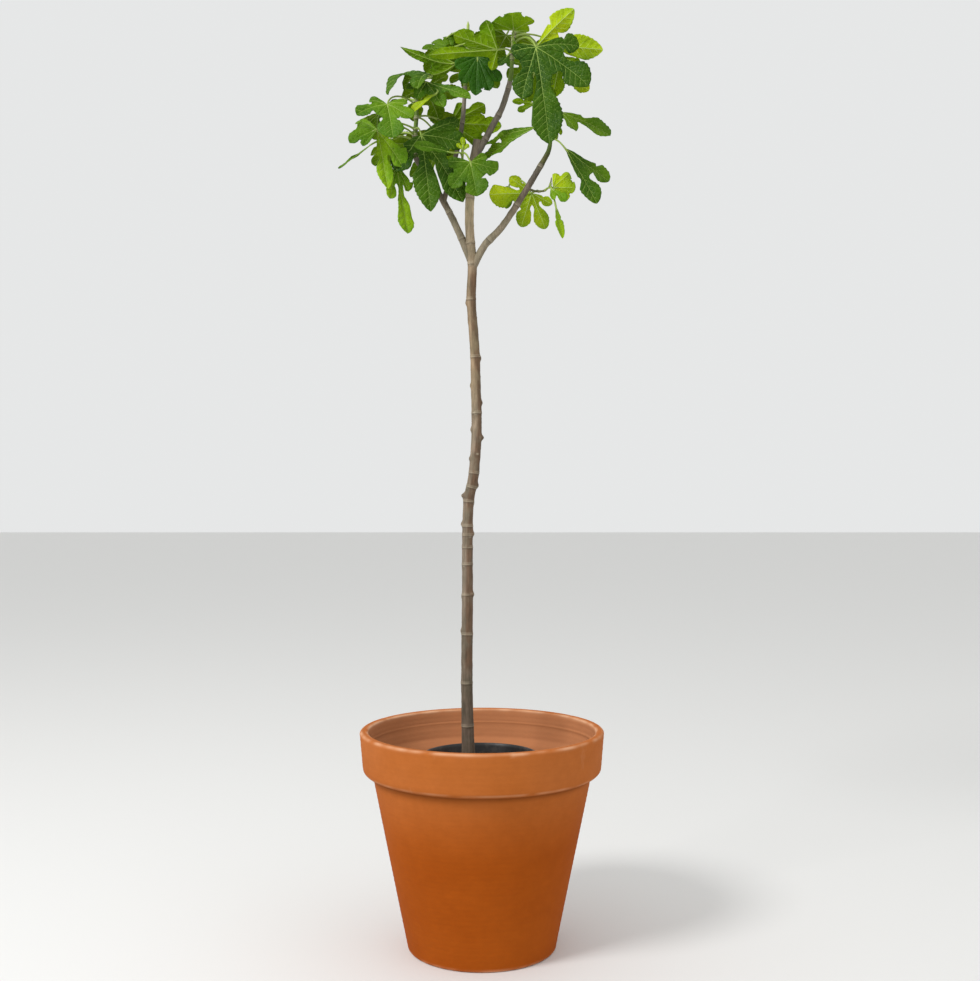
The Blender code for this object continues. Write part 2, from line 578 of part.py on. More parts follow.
def blade(row):
    """The leaf's middle surface: a fan of lobes round the hub that part at the notches."""
    hub, forward, lobes = leaf_ribs(row)
    points, faces = [], []
    notches = notch_reaches(row, lobes)

    def border(first, share):
        """Point on the seam between a lobe and the next, at a share of the way to the notch."""
        return seam_point(row, hub, forward, lobes[first], lobes[first + 1], notches[first] * share)

    for n, lobe in enumerate(lobes):
        beside = [notches[n - 1] if n > 0 else None, notches[n] if n < len(notches) else None]
        start_u = notch_free(lobe, beside)
        gaps = [abs(lobe["turn"] - lobes[n - 1]["turn"]) if n > 0 else math.pi,
                abs(lobes[n + 1]["turn"] - lobe["turn"]) if n < len(notches) else math.pi]
        before = None
        for step in range(INNER_ROWS + OUTER_ROWS + 1):
            inner = step <= INNER_ROWS
            if inner:
                u = start_u * step / INNER_ROWS
            else:
                u = start_u + (1 - start_u) * (1 - (1 - (step - INNER_ROWS) / OUTER_ROWS) ** 1.25)
            centre, along = on_line(lobe["line"], u)
            outward = across_to(lobe["side"], along)
            up = np.cross(outward, along)
            edges = []
            for sign, reach, gap, seam in ((-1, beside[0], gaps[0], n - 1), (1, beside[1], gaps[1], n)):
                if inner and reach:
                    edges.append(border(seam, step / INNER_ROWS) if step else hub)
                    continue
                start_width = 0.62 * lobe["half"]
                way = sign * outward
                if reach:
                    start = border(seam, 1) - on_line(lobe["line"], start_u)[0]
                    start_width = np.linalg.norm(start)
                    way = unit(unit(start) * (1 - smooth((u - start_u) / 0.25))
                               + sign * outward * smooth((u - start_u) / 0.25))
                if inner:
                    width = start_width * (step / INNER_ROWS) ** 0.8
                else:
                    width = half_width(u, start_u, start_width, row["widest"], lobe["half"], row["point"])
                    if gap < math.pi:
                        width = min(width, SECTOR * np.linalg.norm(centre - hub) * math.sin(gap / 2))
                edges.append(centre + way * width)
            ids = []
            for k, edge in ((-1, edges[0]), (0, centre), (1, edges[1])):
                if not (inner and beside[0 if k < 0 else 1]):
                    edge = edge + up * ARCH * np.linalg.norm(edge - centre)
                ids.append(len(points))
                points.append(edge)
            if before:
                faces += [(before[k], before[k + 1], ids[k + 1], ids[k]) for k in (0, 1)]
            before = ids
    return points, faces, hub, forward


def leaf_solid(name, row, finish):
    points, faces, hub, forward = blade(row)
    made = add_object(name, points, faces, finish)
    shell = made.modifiers.new("thickness", "SOLIDIFY")
    shell.thickness = LEAF_THICKNESS
    shell.offset = 0
    return made, hub, forward


def stalk_line(shoot, hub, forward):
    """A leaf stalk: up out of the shoot at its nearest point, and into the blade from behind."""
    behind = hub - forward * STALK_BEHIND
    root = shoot[1 + int(np.argmin(np.linalg.norm(shoot[1:-1] - behind, axis=1)))]
    length = np.linalg.norm(hub - root)
    rising = root + (0.35 * unit(hub - root) - STALK_LIFT * DOWN) * length
    arriving = hub - forward * 0.30 * length
    end = hub + forward * STALK_SINK
    found = []
    for t in np.linspace(0, 1, STALK_STEPS + 1):
        found.append(root * (1 - t) ** 3 + 3 * rising * t * (1 - t) ** 2
                     + 3 * arriving * t * t * (1 - t) + end * t ** 3)
    return np.array(found)


def far_leaf(x, z, size, shape, chance):
    """A leaf that grows away from the front, its upper side turned up and to the back, with
    its side lobes a little different from the shape's."""
    hub = at((x, chance.uniform(*FAR_DEPTH), z))
    turn = 90 + chance.uniform(-FAR_TURN, FAR_TURN)
    tip = hub + compass(turn, -chance.uniform(*FAR_DIP)) * size * CM
    lobes, notches = [], SHAPES[shape][1]
    for angle, share, half in SHAPES[shape][0]:
        if angle:
            angle += chance.uniform(-ANGLE_VARIETY, ANGLE_VARIETY)
            share *= 1 + chance.uniform(-LENGTH_VARIETY, LENGTH_VARIETY)
        lobes.append((angle, share, half))
    fanned = turn - FAR_FAN * min(max(x - FAR_MIDDLE, -FAR_FAN_REACH), FAR_FAN_REACH)
    return dict(hub=hub, tip=tip, face=compass(fanned, FAR_FACE_RISE), lobes=lobes, notches=notches,
                droop=0.25, cup=0, widest=0.66, point=0.6)


def solid_mesh(made):
    graph = bpy.context.evaluated_depsgraph_get()
    return bpy.data.meshes.new_from_object(made.evaluated_get(graph))


def apply_modifiers(made):
    bpy.context.view_layer.update()
    mesh = solid_mesh(made)
    made.modifiers.clear()
    made.data = mesh


def joined(base, pieces):
    """The base with all the pieces fused to it, and the pieces gone."""
    group = bpy.data.collections.new(base.name + "_pieces")
    bpy.context.scene.collection.children.link(group)
    for piece in pieces:
        bpy.context.collection.objects.unlink(piece)
        group.objects.link(piece)
    fuse = base.modifiers.new("fuse", "BOOLEAN")
    fuse.operation = "UNION"
    fuse.operand_type = "COLLECTION"
    fuse.collection = group
    fuse.solver = "MANIFOLD"
    apply_modifiers(base)
    for piece in list(group.objects):
        bpy.data.objects.remove(piece)
    bpy.data.collections.remove(group)
    return base


def shoot_line(mass):
    """The leafy shoot's line, and the step at which it leaves the bough that it grows on from."""
    carrier, places, *_ = MASSES[mass]
    if carrier in BOUGHS:
        return limb_line(carrier)
    return route(places, BOUGH_STEPS), 0


def foliage(name, finish):
    _, _, thick, thin, rows = MASSES[name]
    line, start = shoot_line(name)
    run = run_of(line)
    share = np.clip((run - run[start]) / (run[-1] - run[start]), 0, 1)
    base = tube(name, line, (thick + (thin - thick) * share) * CM, SHOOT_SIDES, finish, first=start)
    chance = random.Random(f"{VARIETY_SEED} {name}")
    far_rows = [far_leaf(*place, chance) for place in FAR_SIDE[name]]
    pieces = []
    for k, row in enumerate((*rows, *far_rows)):
        made, hub, forward = leaf_solid(f"{name}_leaf_{k}", row, finish)
        stalk = stalk_line(line[start:], hub, forward)
        radii = np.linspace(STALK_RADIUS, STALK_TIP_RADIUS, len(stalk))
        pieces += [made, tube(f"{name}_stalk_{k}", stalk, radii, STALK_SIDES, finish)]
    return joined(base, pieces)


def cut_clear(made, cutter):
    """Cuts an object by a copy of its neighbour grown by the gap, which is then gone."""
    cut = made.modifiers.new("clear", "BOOLEAN")
    cut.operation = "DIFFERENCE"
    cut.object = cutter
    apply_modifiers(made)
    bpy.data.objects.remove(cutter)


def main():
    for old in list(bpy.data.objects):
        bpy.data.objects.remove(old)
    clay = material("terracotta", (0.52, 0.17, 0.065), 0.85)
    plastic = material("black_plastic", (0.02, 0.02, 0.02), 0.5)
    soil = material("compost", (0.035, 0.022, 0.015), 0.95)
    bark = material("bark", (0.16, 0.13, 0.10), 0.8)
    green = material("leaf", (0.10, 0.24, 0.03), 0.5)
    terracotta_pot(clay)
    pot_fill(soil)
    nursery_pot(plastic)
    compost(soil)
    trunk(bark)
    for name in ("bough_right", "bough_left", "bough_top"):
        cut_clear(bough(name, bark), trunk(bark, "cutter", GAP))
    cut_clear(bough("bough_upright", bark), bough("bough_left", bark, "cutter", GAP))
    for name in MASSES:
        foliage(name, green)
    cut_clear(bpy.data.objects["foliage_centre"], trunk(bark, "cutter", GAP))
    cut_clear(bpy.data.objects["foliage_low_right"], bough("bough_right", bark, "cutter", GAP))


main()
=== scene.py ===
"""The looks of a young potted fig tree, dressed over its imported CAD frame.

Everything is in metres in the frame of the CAD: +Z up, the front facing -Y, the origin at
the centre of the terracotta pot's flat underside. The limbs and leaves grow by the same
rule and from the same places as the CAD solids, in a finer mesh.
"""

import math
import random

import bmesh
import bpy
import numpy as np
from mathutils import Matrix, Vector, noise


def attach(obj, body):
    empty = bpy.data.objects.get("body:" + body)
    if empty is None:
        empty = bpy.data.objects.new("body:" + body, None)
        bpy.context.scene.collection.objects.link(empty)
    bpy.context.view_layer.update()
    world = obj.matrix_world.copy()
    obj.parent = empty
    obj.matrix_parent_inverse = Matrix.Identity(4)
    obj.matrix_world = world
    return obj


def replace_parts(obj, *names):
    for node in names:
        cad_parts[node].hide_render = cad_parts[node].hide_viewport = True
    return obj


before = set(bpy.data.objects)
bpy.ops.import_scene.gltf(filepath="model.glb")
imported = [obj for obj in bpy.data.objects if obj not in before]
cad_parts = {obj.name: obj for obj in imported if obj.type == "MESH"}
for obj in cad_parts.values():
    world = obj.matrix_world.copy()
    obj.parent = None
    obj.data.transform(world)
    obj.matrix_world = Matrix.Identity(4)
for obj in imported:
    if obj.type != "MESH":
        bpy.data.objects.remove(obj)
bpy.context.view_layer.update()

CM = 0.01
MM = 0.001
DOWN = np.array((0.0, 0.0, -1.0))

# Pots and compost, in metres, as in the CAD.
POT_HEIGHT = 0.355
POT_FOOT_RADIUS = 0.122
POT_NECK_RADIUS = 0.1795
RIM_RADIUS = 0.200
RIM_BOTTOM_RADIUS = 0.1955
RIM_DEPTH = 0.070
MOUTH_RADIUS = 0.186
LEDGE_DEPTH = 0.025
LEDGE_STEP = 0.002
POT_WALL = 0.0155
POT_FLOOR = 0.018
NURSERY_RIM_RADIUS = 0.0965
NURSERY_RIM_TOP = 0.3125
NURSERY_RIM_DEPTH = 0.014
NURSERY_TOP_RADIUS = 0.0925
NURSERY_FOOT_RADIUS = 0.071
NURSERY_DEPTH = 0.155
NURSERY_WALL = 0.0016
NURSERY_CENTRE = (-0.003, 0.0)
COMPOST_TOP = 0.298
FILL_TOP = 0.264

# Limbs. Places in the crown are in centimetres as they show from the front: x and z in
# the plane through the pot's axis, and y the depth behind that plane. The eye they show
# to is level, this high and this far in front of the axis.
EYE = (1.3, -203.0, 74.7)
TRUNK_STEPS = 4
BOUGH_STEPS = 4
TRUNK = (
    (-2.2, 0.0, 29.83), (-2.3, 0.0, 33), (-2.5, 0.0, 44), (-2.4, 0.3, 56), (-2.4, 0.5, 66),
    (-2.2, 0.6, 73), (-1.4, 0.2, 77), (-0.9, 0.0, 84), (-1.0, 0.3, 91), (-1.2, 0.5, 98),
    (-1.8, 0.3, 106), (-1.6, 0.0, 111.5), (-2.1, 0.0, 119), (-1.7, 0.2, 127), (-0.7, 0.4, 132.3),
)
TRUNK_FOOT_RADIUS = 0.98
TRUNK_TIP_RADIUS = 0.70
FLARE = 0.26
FLARE_HEIGHT = 3.0
# ring scars where leaves once stood, as heights, and the stubs and buds that stand out
SCARS = (36, 43, 51, 57.5, 62.5, 65.3, 67.3, 68.8, 72.9, 75.3, 77.6, 87.4, 96.7, 106.2, 112, 115.4, 122.9)
STUBS = (  # height, degrees round from +X, how far it stands out
    (51.6, 180, 0.18), (57.6, 0, 0.18), (67.6, 0, 0.22), (69.2, 180, 0.25), (73.7, 185, 0.50),
    (75.7, 0, 0.25), (79.9, 190, 0.22), (80.7, 290, 0.20), (83.4, 5, 0.42), (84.7, 180, 0.22),
    (87.4, 250, 0.15), (89.1, 0, 0.24), (92.0, 180, 0.16), (96.4, 0, 0.18), (105.6, 180, 0.22),
)
BOUGHS = {
    "bough_right": (
        ((-1.6, 0.0, 111.2), (0.4, -0.4, 115.0), (3.3, -1.2, 118.1), (6.8, -2.2, 123.4), (9.9, -3.2, 128.6)),
        0.64, 0.46),
    "bough_left": (
        ((-1.9, 0.0, 112.6), (-4.0, 0.6, 117.6), (-6.2, 1.2, 122), (-8.8, 1.6, 126.4), (-10.9, 1.4, 129.4)),
        0.62, 0.46),
    "bough_upright": (
        ((-6.3, 1.2, 122.2), (-5.2, 2.0, 126.5), (-4.0, 2.2, 131), (-3.2, 2.0, 135.5), (-2.8, 1.4, 141.2)),
        0.42, 0.34),
    "bough_top": (
        ((-1.1, 0.3, 129.6), (0.6, 0.3, 132.6), (2.0, -0.1, 135.2), (3.4, -0.6, 137.9), (4.6, -1.1, 142)),
        0.58, 0.44),
}
BOUGH_SCARS = {
    "bough_right": (0.27, 0.62, 0.97),
    "bough_left": (0.2, 0.45, 0.8),
    "bough_upright": (0.3, 0.7),
    "bough_top": (0.25, 0.58, 0.92),
}

# Leaves. A shape has its lobes, each as its angle from the midrib, its length and its half
# width, and then how far out each notch between two lobes lies. All but the angles are
# shares of the midrib's length.
SHAPES = {
    "five": (((-104, 0.55, 0.16), (-50, 0.82, 0.19), (0, 1, 0.20), (50, 0.82, 0.19), (104, 0.55, 0.16)),
             (0.34, 0.42, 0.42, 0.34)),
    "palm": (((-100, 0.60, 0.20), (-52, 0.90, 0.25), (0, 1, 0.25), (52, 0.90, 0.25), (100, 0.60, 0.20)),
             (0.48, 0.60, 0.60, 0.48)),
    "narrow": (((-36, 0.72, 0.13), (0, 1, 0.16), (36, 0.72, 0.13)), (0.45, 0.45)),
    "slim": (((0, 1, 0.16),), ()),
    "ribbon": (((0, 1, 0.045),), ()),
}
STALK_RADIUS = 0.0016
STALK_TIP_RADIUS = 0.0013
STALK_SINK = 0.009
STALK_BEHIND = 0.02
STALK_LIFT = 0.22
STALK_STEPS = 16
RIB_STEPS = 48
ARCH = 0.18
WAIST = 0.75
SECTOR = 0.88
VARIETY_SEED = 7
ANGLE_VARIETY = 5
LENGTH_VARIETY = 0.08

# Leaves on the far side of the crown: where each would show from the front, behind the
# leaves there, its length in centimetres, and its shape. The rest of them follows a rule.
FAR_SIDE = {
    "foliage_top": (
        (9.5, 147.5, 9.5, "five"), (13, 146, 8.5, "five"), (4, 149.6, 8, "five"), (8.7, 143.5, 6.5, "palm")),
    "foliage_upright": ((-2, 147.5, 8.5, "five"), (-6.5, 147.8, 7.5, "five"), (-1, 143.5, 6, "palm")),
    "foliage_left": (
        (-17, 136.8, 7.5, "five"), (-15.4, 132, 6, "palm"), (-9.2, 140.8, 8, "five"), (-8, 134, 9, "five"),
        (-7.8, 130.2, 7.5, "five")),
    "foliage_centre": (),
    "foliage_right": ((10.9, 139.5, 7, "narrow"), (10.6, 137.0, 6.5, "narrow")),
    "foliage_low_right": ((4.4, 124.8, 6, "narrow"),),
}
FAR_DEPTH = (4.0, 7.0)
FAR_TURN = 25
FAR_DIP = (15, 35)
FAR_FACE_RISE = 45
FAR_FAN = 5  # degrees that a leaf's face turns outwards for each centimetre from the middle
FAR_MIDDLE = -1
FAR_FAN_REACH = 10


def unit(v):
    v = np.asarray(v, float)
    return v / np.linalg.norm(v)


def across_to(v, along):
    """v with its part along the unit vector taken out, as a unit vector."""
    return unit(v - np.dot(v, along) * along)


def compass(degrees_round, degrees_up):
    """Unit vector: 0 is +X, 90 is +Y, and the second angle is above level."""
    turn, rise = math.radians(degrees_round), math.radians(degrees_up)
    return np.array((math.cos(turn) * math.cos(rise), math.sin(turn) * math.cos(rise), math.sin(rise)))


def at(place):
    """The real point, in metres, of a place given as it shows from the front."""
    x, depth, z = place
    grown = (depth - EYE[1]) / -EYE[1]
    return np.array((EYE[0] + (x - EYE[0]) * grown, depth, EYE[2] + (z - EYE[2]) * grown)) * CM


def leaf(hub, tip, face, shape="five", droop=0.1, cup=0, widest=0.66, point=0.6):
    """One leaf: where its blade meets its stalk, the end of its midrib, and the way its
    upper side looks as degrees round from +X and degrees above level. Its lobes are widest
    at a share of their length, and a higher point makes their ends sharper."""
    lobes, notches = SHAPES[shape] if isinstance(shape, str) else shape
    return dict(hub=at(hub), tip=at(tip), face=compass(*face), lobes=lobes, notches=notches,
                droop=droop, cup=cup, widest=widest, point=point)


def smooth(t):
    t = min(max(t, 0.0), 1.0)
    return t * t * (3 - 2 * t)


# Each mass: the limb that carries it, its leafy shoot's places and two radii, and the
# leaves that show from the front.
MASSES = {
    "foliage_top": ("bough_top", ((4.9, -1.6, 145), (5.1, -2.0, 148), (5.2, -2.3, 150.6)), 0.42, 0.20, (
        leaf((8.9, -9, 147.6), (11.1, -11, 131.9), (-95, 15), droop=0.3, widest=0.72, point=0.75, shape=(
            ((-94, 0.43, 0.11), (-50, 0.67, 0.15), (0, 1, 0.165), (26, 0.56, 0.13), (100, 0.25, 0.11)),
            (0.28, 0.35, 0.27, 0.22))),
        leaf((9.0, -6, 147.8), (19.9, -7, 147.2), (95, 15), widest=0.56, point=0.7, shape=(
            ((-30, 0.50, 0.13), (0, 1, 0.20), (46, 0.76, 0.17)), (0.36, 0.36))),
        leaf((12.6, -4, 144.6), (17.6, -5, 140.4), (100, 20), shape=(
            ((0, 1, 0.19), (22, 0.85, 0.15)), (0.6,))),
        leaf((5.2, -4, 150.4), (4.9, -9, 153.5), (90, 40), shape=(
            ((-102, 0.50, 0.22), (-52, 0.80, 0.26), (0, 1, 0.24), (44, 0.86, 0.24), (74, 0.88, 0.18)),
            (0.44, 0.72, 0.78, 0.74))),
        leaf((5.0, -4.5, 149.4), (5.7, -5, 146.6), (-60, 20), shape="slim", droop=0),
        leaf((4.6, 1.2, 146.6), (2.6, 0.6, 144.6), (-100, 10), droop=0, shape=(
            ((-45, 0.90, 0.33), (0, 1, 0.34)), (0.7,))),
        leaf((2.5, -5.5, 147.2), (-9.0, -8, 146.3), (90, 25), droop=0.05, point=0.7, shape=(
            ((-70, 0.42, 0.12), (-21, 0.66, 0.14), (0, 1, 0.085), (72, 0.28, 0.08)), (0.33, 0.50, 0.16))),
    )),
    "foliage_upright": (
        "bough_upright", ((-2.6, 1.3, 144.5), (-2.3, 1.2, 148), (-2.3, 1.2, 150.2), (-2.3, 1.2, 151.3)),
        0.33, 0.24, (
        leaf((-0.7, -2.5, 146.0), (-1.0, -4, 139.7), (-90, 15), droop=0.2, shape=(
            ((-78, 0.45, 0.24), (-48, 0.82, 0.22), (-22, 0.92, 0.20), (0, 1, 0.20), (30, 0.78, 0.22),
             (68, 0.58, 0.24)), (0.42, 0.76, 0.86, 0.72, 0.52))),
        leaf((-5.0, 3.5, 147.5), (-9.9, 3, 147.3), (-90, 40), shape=(
            ((0, 1, 0.22), (30, 0.75, 0.20), (84, 0.72, 0.30)), (0.6, 0.5))),
        leaf((-4.3, 0.5, 145.0), (-13.4, -1.5, 147.7), (80, 10), droop=-1.8, widest=0.5, point=0.9, shape=(
            ((-18, 0.50, 0.09), (0, 1, 0.085), (36, 0.62, 0.13)), (0.44, 0.42))),
    )),
    "foliage_left": (
        "bough_left", ((-11.1, 1.0, 132.2), (-10.8, 0.6, 136), (-10.8, 0.3, 139.5), (-10.8, 0, 141.8)),
        0.45, 0.20, (
        leaf((-15.6, -8, 138.2), (-14.6, -11, 132.6), (-95, 35), droop=0.35, cup=10, shape=(
            ((-94, 0.46, 0.16), (-48, 0.74, 0.22), (0, 1, 0.32), (84, 0.76, 0.21), (124, 0.42, 0.16)),
            (0.38, 0.54, 0.42, 0.34))),
        leaf((-17.3, -5.2, 134.1), (-21.8, -7, 131.9), (-100, 30), shape=(
            ((-27, 0.85, 0.20), (0, 1, 0.30), (77, 0.72, 0.24)), (0.70, 0.60))),
        leaf((-17.3, -3.6, 133.9), (-15.4, -6, 124.4), (-80, 10), point=0.75, shape=(
            ((-26, 0.72, 0.20), (0, 1, 0.13)), (0.46,))),
        leaf((-17.8, -2.4, 131.9), (-23.6, -5, 127.5), (-60, 55), shape="ribbon", droop=0.2),
        leaf((-14.2, -3, 128.6), (-12.2, -4, 117.0), (-60, 0), widest=0.8, shape=(
            ((-17, 0.42, 0.10), (0, 1, 0.12), (20, 0.54, 0.09)), (0.32, 0.30))),
        leaf((-10.0, -3, 133.2), (-8.4, -6, 120.8), (-90, 15), droop=0.2, widest=0.62, point=0.75, shape=(
            ((-112, 0.50, 0.13), (-76, 0.56, 0.09), (-25, 1.02, 0.17), (0, 1, 0.175), (44, 0.57, 0.17)),
            (0.42, 0.40, 0.36, 0.24))),
        leaf((-8.2, -4, 143.0), (-15.6, -7, 139.9), (-120, 60), droop=0.8, shape=(
            ((-40, 0.62, 0.18), (0, 1, 0.21), (40, 0.62, 0.18)), (0.48, 0.48))),
        leaf((-9.2, -3.5, 141.9), (-1.9, -5, 139.1), (-80, 30), droop=0.15, shape=(
            ((0, 1, 0.15), (38, 0.78, 0.16), (88, 0.52, 0.15), (135, 0.44, 0.14)), (0.50, 0.38, 0.32))),
        leaf((-7.4, -6, 140.0), (-11.8, -7, 136.6), (-60, 50), shape="slim", droop=0.3),
        leaf((-5.2, 4.5, 135.1), (3.2, 4.5, 134.7), (90, 15), droop=0.05, shape=(
            ((-30, 0.72, 0.20), (0, 1, 0.18), (30, 0.76, 0.20), (58, 0.45, 0.17)), (0.64, 0.68, 0.40))),
    )),
    "foliage_centre": (
        "trunk", ((-1.9, 0.0, 124.6), (-2.7, -1.7, 126.6), (-3.2, -3.0, 128.8), (-3.3, -3.6, 130.7)),
        0.26, 0.14, (
        leaf((-1.9, -6, 128.7), (-0.8, -8, 123.2), (-90, 20), shape=(
            ((-108, 0.46, 0.18), (-66, 0.74, 0.30), (0, 1, 0.36), (46, 0.88, 0.25), (108, 0.58, 0.20)),
            (0.40, 0.54, 0.62, 0.48))),
        leaf((-4.9, -7, 130.2), (-11.3, -9, 131.4), (-90, 20), shape="slim"),
        leaf((-3.1, -4.2, 130.6), (-3.2, -5, 132.9), (90, 20), droop=0, shape=(
            ((-42, 0.62, 0.20), (0, 1, 0.22), (38, 0.70, 0.19)), (0.36, 0.40))),
    )),
    "foliage_right": ("bough_right", ((11.1, -3.8, 131), (11.3, -4, 134), (11.2, -4, 136.8)), 0.44, 0.16, (
        leaf((9.0, -2, 134.6), (0.9, 4.5, 131.7), (-90, 28), widest=0.55, point=0.9, shape=(
            ((-20, 1.22, 0.13), (0, 1.06, 0.15)), (0.62,))),
        leaf((13.7, -6, 131.0), (18.9, -7, 121.9), (-80, 25), widest=0.72, shape=(
            ((-28, 0.84, 0.16), (0, 1, 0.16)), (0.56,))),
        leaf((13.1, -1, 136.9), (21.1, -2, 133.1), (-85, 30), droop=0.25, widest=0.70, shape=(
            ((0, 1, 0.19), (36, 0.50, 0.16)), (0.36,))),
        leaf((8.8, -1, 138.3), (5.0, -2, 138.7), (60, 20), droop=0.15, shape=(
            ((0, 1, 0.14), (28, 0.80, 0.17)), (0.45,))),
    )),
    "foliage_low_right": ("side of bough_right",
        ((7.4, -2.2, 124.4), (8.9, -1.6, 123.9), (10.4, -2.4, 124.1), (11.2, -3.2, 124.9), (11.4, -3.4, 126)),
        0.20, 0.10, (
        leaf((8.2, 1, 123.6), (1.2, 0.5, 123.4), (90, 5), droop=0.05, shape=(
            ((-36, 0.64, 0.15), (0, 1, 0.32), (71, 0.82, 0.20), (112, 0.88, 0.19), (154, 0.54, 0.12)),
            (0.30, 0.44, 0.26, 0.26))),
        leaf((11.7, -4, 124.5), (15.4, -5, 124.5), (90, 10), shape=(
            ((-40, 0.84, 0.28), (0, 1, 0.32), (40, 0.94, 0.30), (76, 0.62, 0.26)), (0.82, 0.90, 0.74))),
        leaf((11.3, -5, 124.4), (13.8, -6, 122.2), (-90, 30), shape=(
            ((0, 1, 0.28), (34, 0.70, 0.22)), (0.5,))),
        leaf((12.1, -6, 121.6), (13.3, -6, 116.2), (-60, 10), shape="slim", droop=0, widest=0.52, point=0.75),
    )),
}


def route(places, steps):
    """A smooth line through places of the crown, with so many points from each to the next."""
    real = [at(place) for place in places]
    real = [2 * real[0] - real[1], *real, 2 * real[-1] - real[-2]]
    found = []
    for a, b, c, d in zip(real, real[1:], real[2:], real[3:]):
        for t in np.arange(steps) / steps:
            found.append(0.5 * (2 * b + (c - a) * t + (2 * a - 5 * b + 4 * c - d) * t ** 2
                                + (3 * b - a - 3 * c + d) * t ** 3))
    return np.array(found + [real[-2]])


def run_of(line):
    """How far along the line each of its points is."""
    return np.concatenate(([0], np.cumsum(np.linalg.norm(np.diff(line, axis=0), axis=1))))


def shoot_of(bough_name):
    for mass, (carrier, *_) in MASSES.items():
        if carrier == bough_name:
            return mass


def limb_line(bough_name):
    """One smooth line through a bough and the leafy shoot that it ends in, and where they meet."""
    places = BOUGHS[bough_name][0]
    return route(places + MASSES[shoot_of(bough_name)][1], BOUGH_STEPS), (len(places) - 1) * BOUGH_STEPS


def shoot_line(mass):
    """The leafy shoot's line, and the step at which it leaves the bough that it grows on from."""
    carrier, places, *_ = MASSES[mass]
    if carrier in BOUGHS:
        return limb_line(carrier)
    return route(places, BOUGH_STEPS), 0


def rib(start, heading, length, droop):
    """Centre line of a lobe: it sets off along its heading and sinks towards the ground."""
    points = [np.array(start, float)]
    for k in range(1, RIB_STEPS + 1):
        sag = droop * k / RIB_STEPS
        points.append(points[-1] + unit((1 - sag) * heading + sag * DOWN) * length / RIB_STEPS)
    return np.array(points)


def aimed(goal, droop):
    """The heading and the length gain with which a drooping rib still ends at its goal."""
    heading = goal
    for _ in range(4):
        end = rib((0, 0, 0), heading, 1, droop)[-1]
        heading = unit(heading + goal - unit(end))
    return heading, 1 / np.linalg.norm(rib((0, 0, 0), heading, 1, droop)[-1])


def on_line(line, share):
    """Point and direction at a share of a line's steps."""
    s = min(max(share, 0.0), 1.0) * (len(line) - 1)
    k = min(int(s), len(line) - 2)
    return line[k] + (line[k + 1] - line[k]) * (s - k), unit(line[k + 1] - line[k])


def leaf_ribs(row):
    """The leaf's headings and one centre line for each lobe."""
    hub, tip = row["hub"], row["tip"]
    forward, gain = aimed(unit(tip - hub), row["droop"])
    length = np.linalg.norm(tip - hub) * gain
    face = across_to(row["face"], forward)
    side = np.cross(forward, face)
    lobes = []
    for angle, share, half in row["lobes"]:
        turn = math.radians(angle)
        lift = math.radians(row["cup"]) * abs(math.sin(turn))
        flat = forward * math.cos(turn) + side * math.sin(turn)
        heading = flat * math.cos(lift) + face * math.sin(lift)
        lobes.append(dict(
            turn=turn, length=length * share, half=half * length,
            side=side * math.cos(turn) - forward * math.sin(turn),
            line=rib(hub, heading, length * share, row["droop"])))
    return hub, forward, lobes


def half_width(u, start_u, start_width, widest, half, point):
    """Half width of a lobe at a share u of its length, past the notch beside it."""
    if start_u > widest - 0.05:
        widest, half = start_u, start_width
    if u < widest:
        way = (u - start_u) / (widest - start_u)
        waist = WAIST * start_width * math.sin(math.pi * way) * (1 - way)
        return start_width + (half - start_width) * smooth(way) - waist
    return half * max(0.0, 1 - ((u - widest) / (1 - widest)) ** 2) ** point


def notch_reaches(row, lobes):
    """How far each notch lies from the hub, always short of the lobes beside it."""
    midrib = min(lobes, key=lambda lobe: abs(lobe["turn"]))["length"]
    beside = zip(row["notches"], lobes, lobes[1:])
    return [min(share * midrib, 0.93 * min(a["length"], b["length"])) for share, a, b in beside]


def notch_free(lobe, beside):
    """The share of a lobe's length at which it leaves its neighbours."""
    known = [reach for reach in beside if reach] or [0.4 * lobe["length"]]
    return min(0.92 * sum(known) / len(known) / lobe["length"], 0.85)


def seam_point(row, hub, forward, a, b, reach):
    """Point between two lobes at a distance from the hub, raised like the edges further out."""
    way = unit(sum(on_line(lobe["line"], reach / lobe["length"])[0] - hub for lobe in (a, b)))
    rise = ARCH * reach * math.sin(abs(b["turn"] - a["turn"]) / 2)
    return hub + way * reach + across_to(row["face"], forward) * rise


def stalk_line(shoot, hub, forward):
    """A leaf stalk: up out of the shoot at its nearest point, and into the blade from behind."""
    behind = hub - forward * STALK_BEHIND
    root = shoot[1 + int(np.argmin(np.linalg.norm(shoot[1:-1] - behind, axis=1)))]
    length = np.linalg.norm(hub - root)
    rising = root + (0.35 * unit(hub - root) - STALK_LIFT * DOWN) * length
    arriving = hub - forward * 0.30 * length
    end = hub + forward * STALK_SINK
    found = []
    for t in np.linspace(0, 1, STALK_STEPS + 1):
        found.append(root * (1 - t) ** 3 + 3 * rising * t * (1 - t) ** 2
                     + 3 * arriving * t * t * (1 - t) + end * t ** 3)
    return np.array(found)


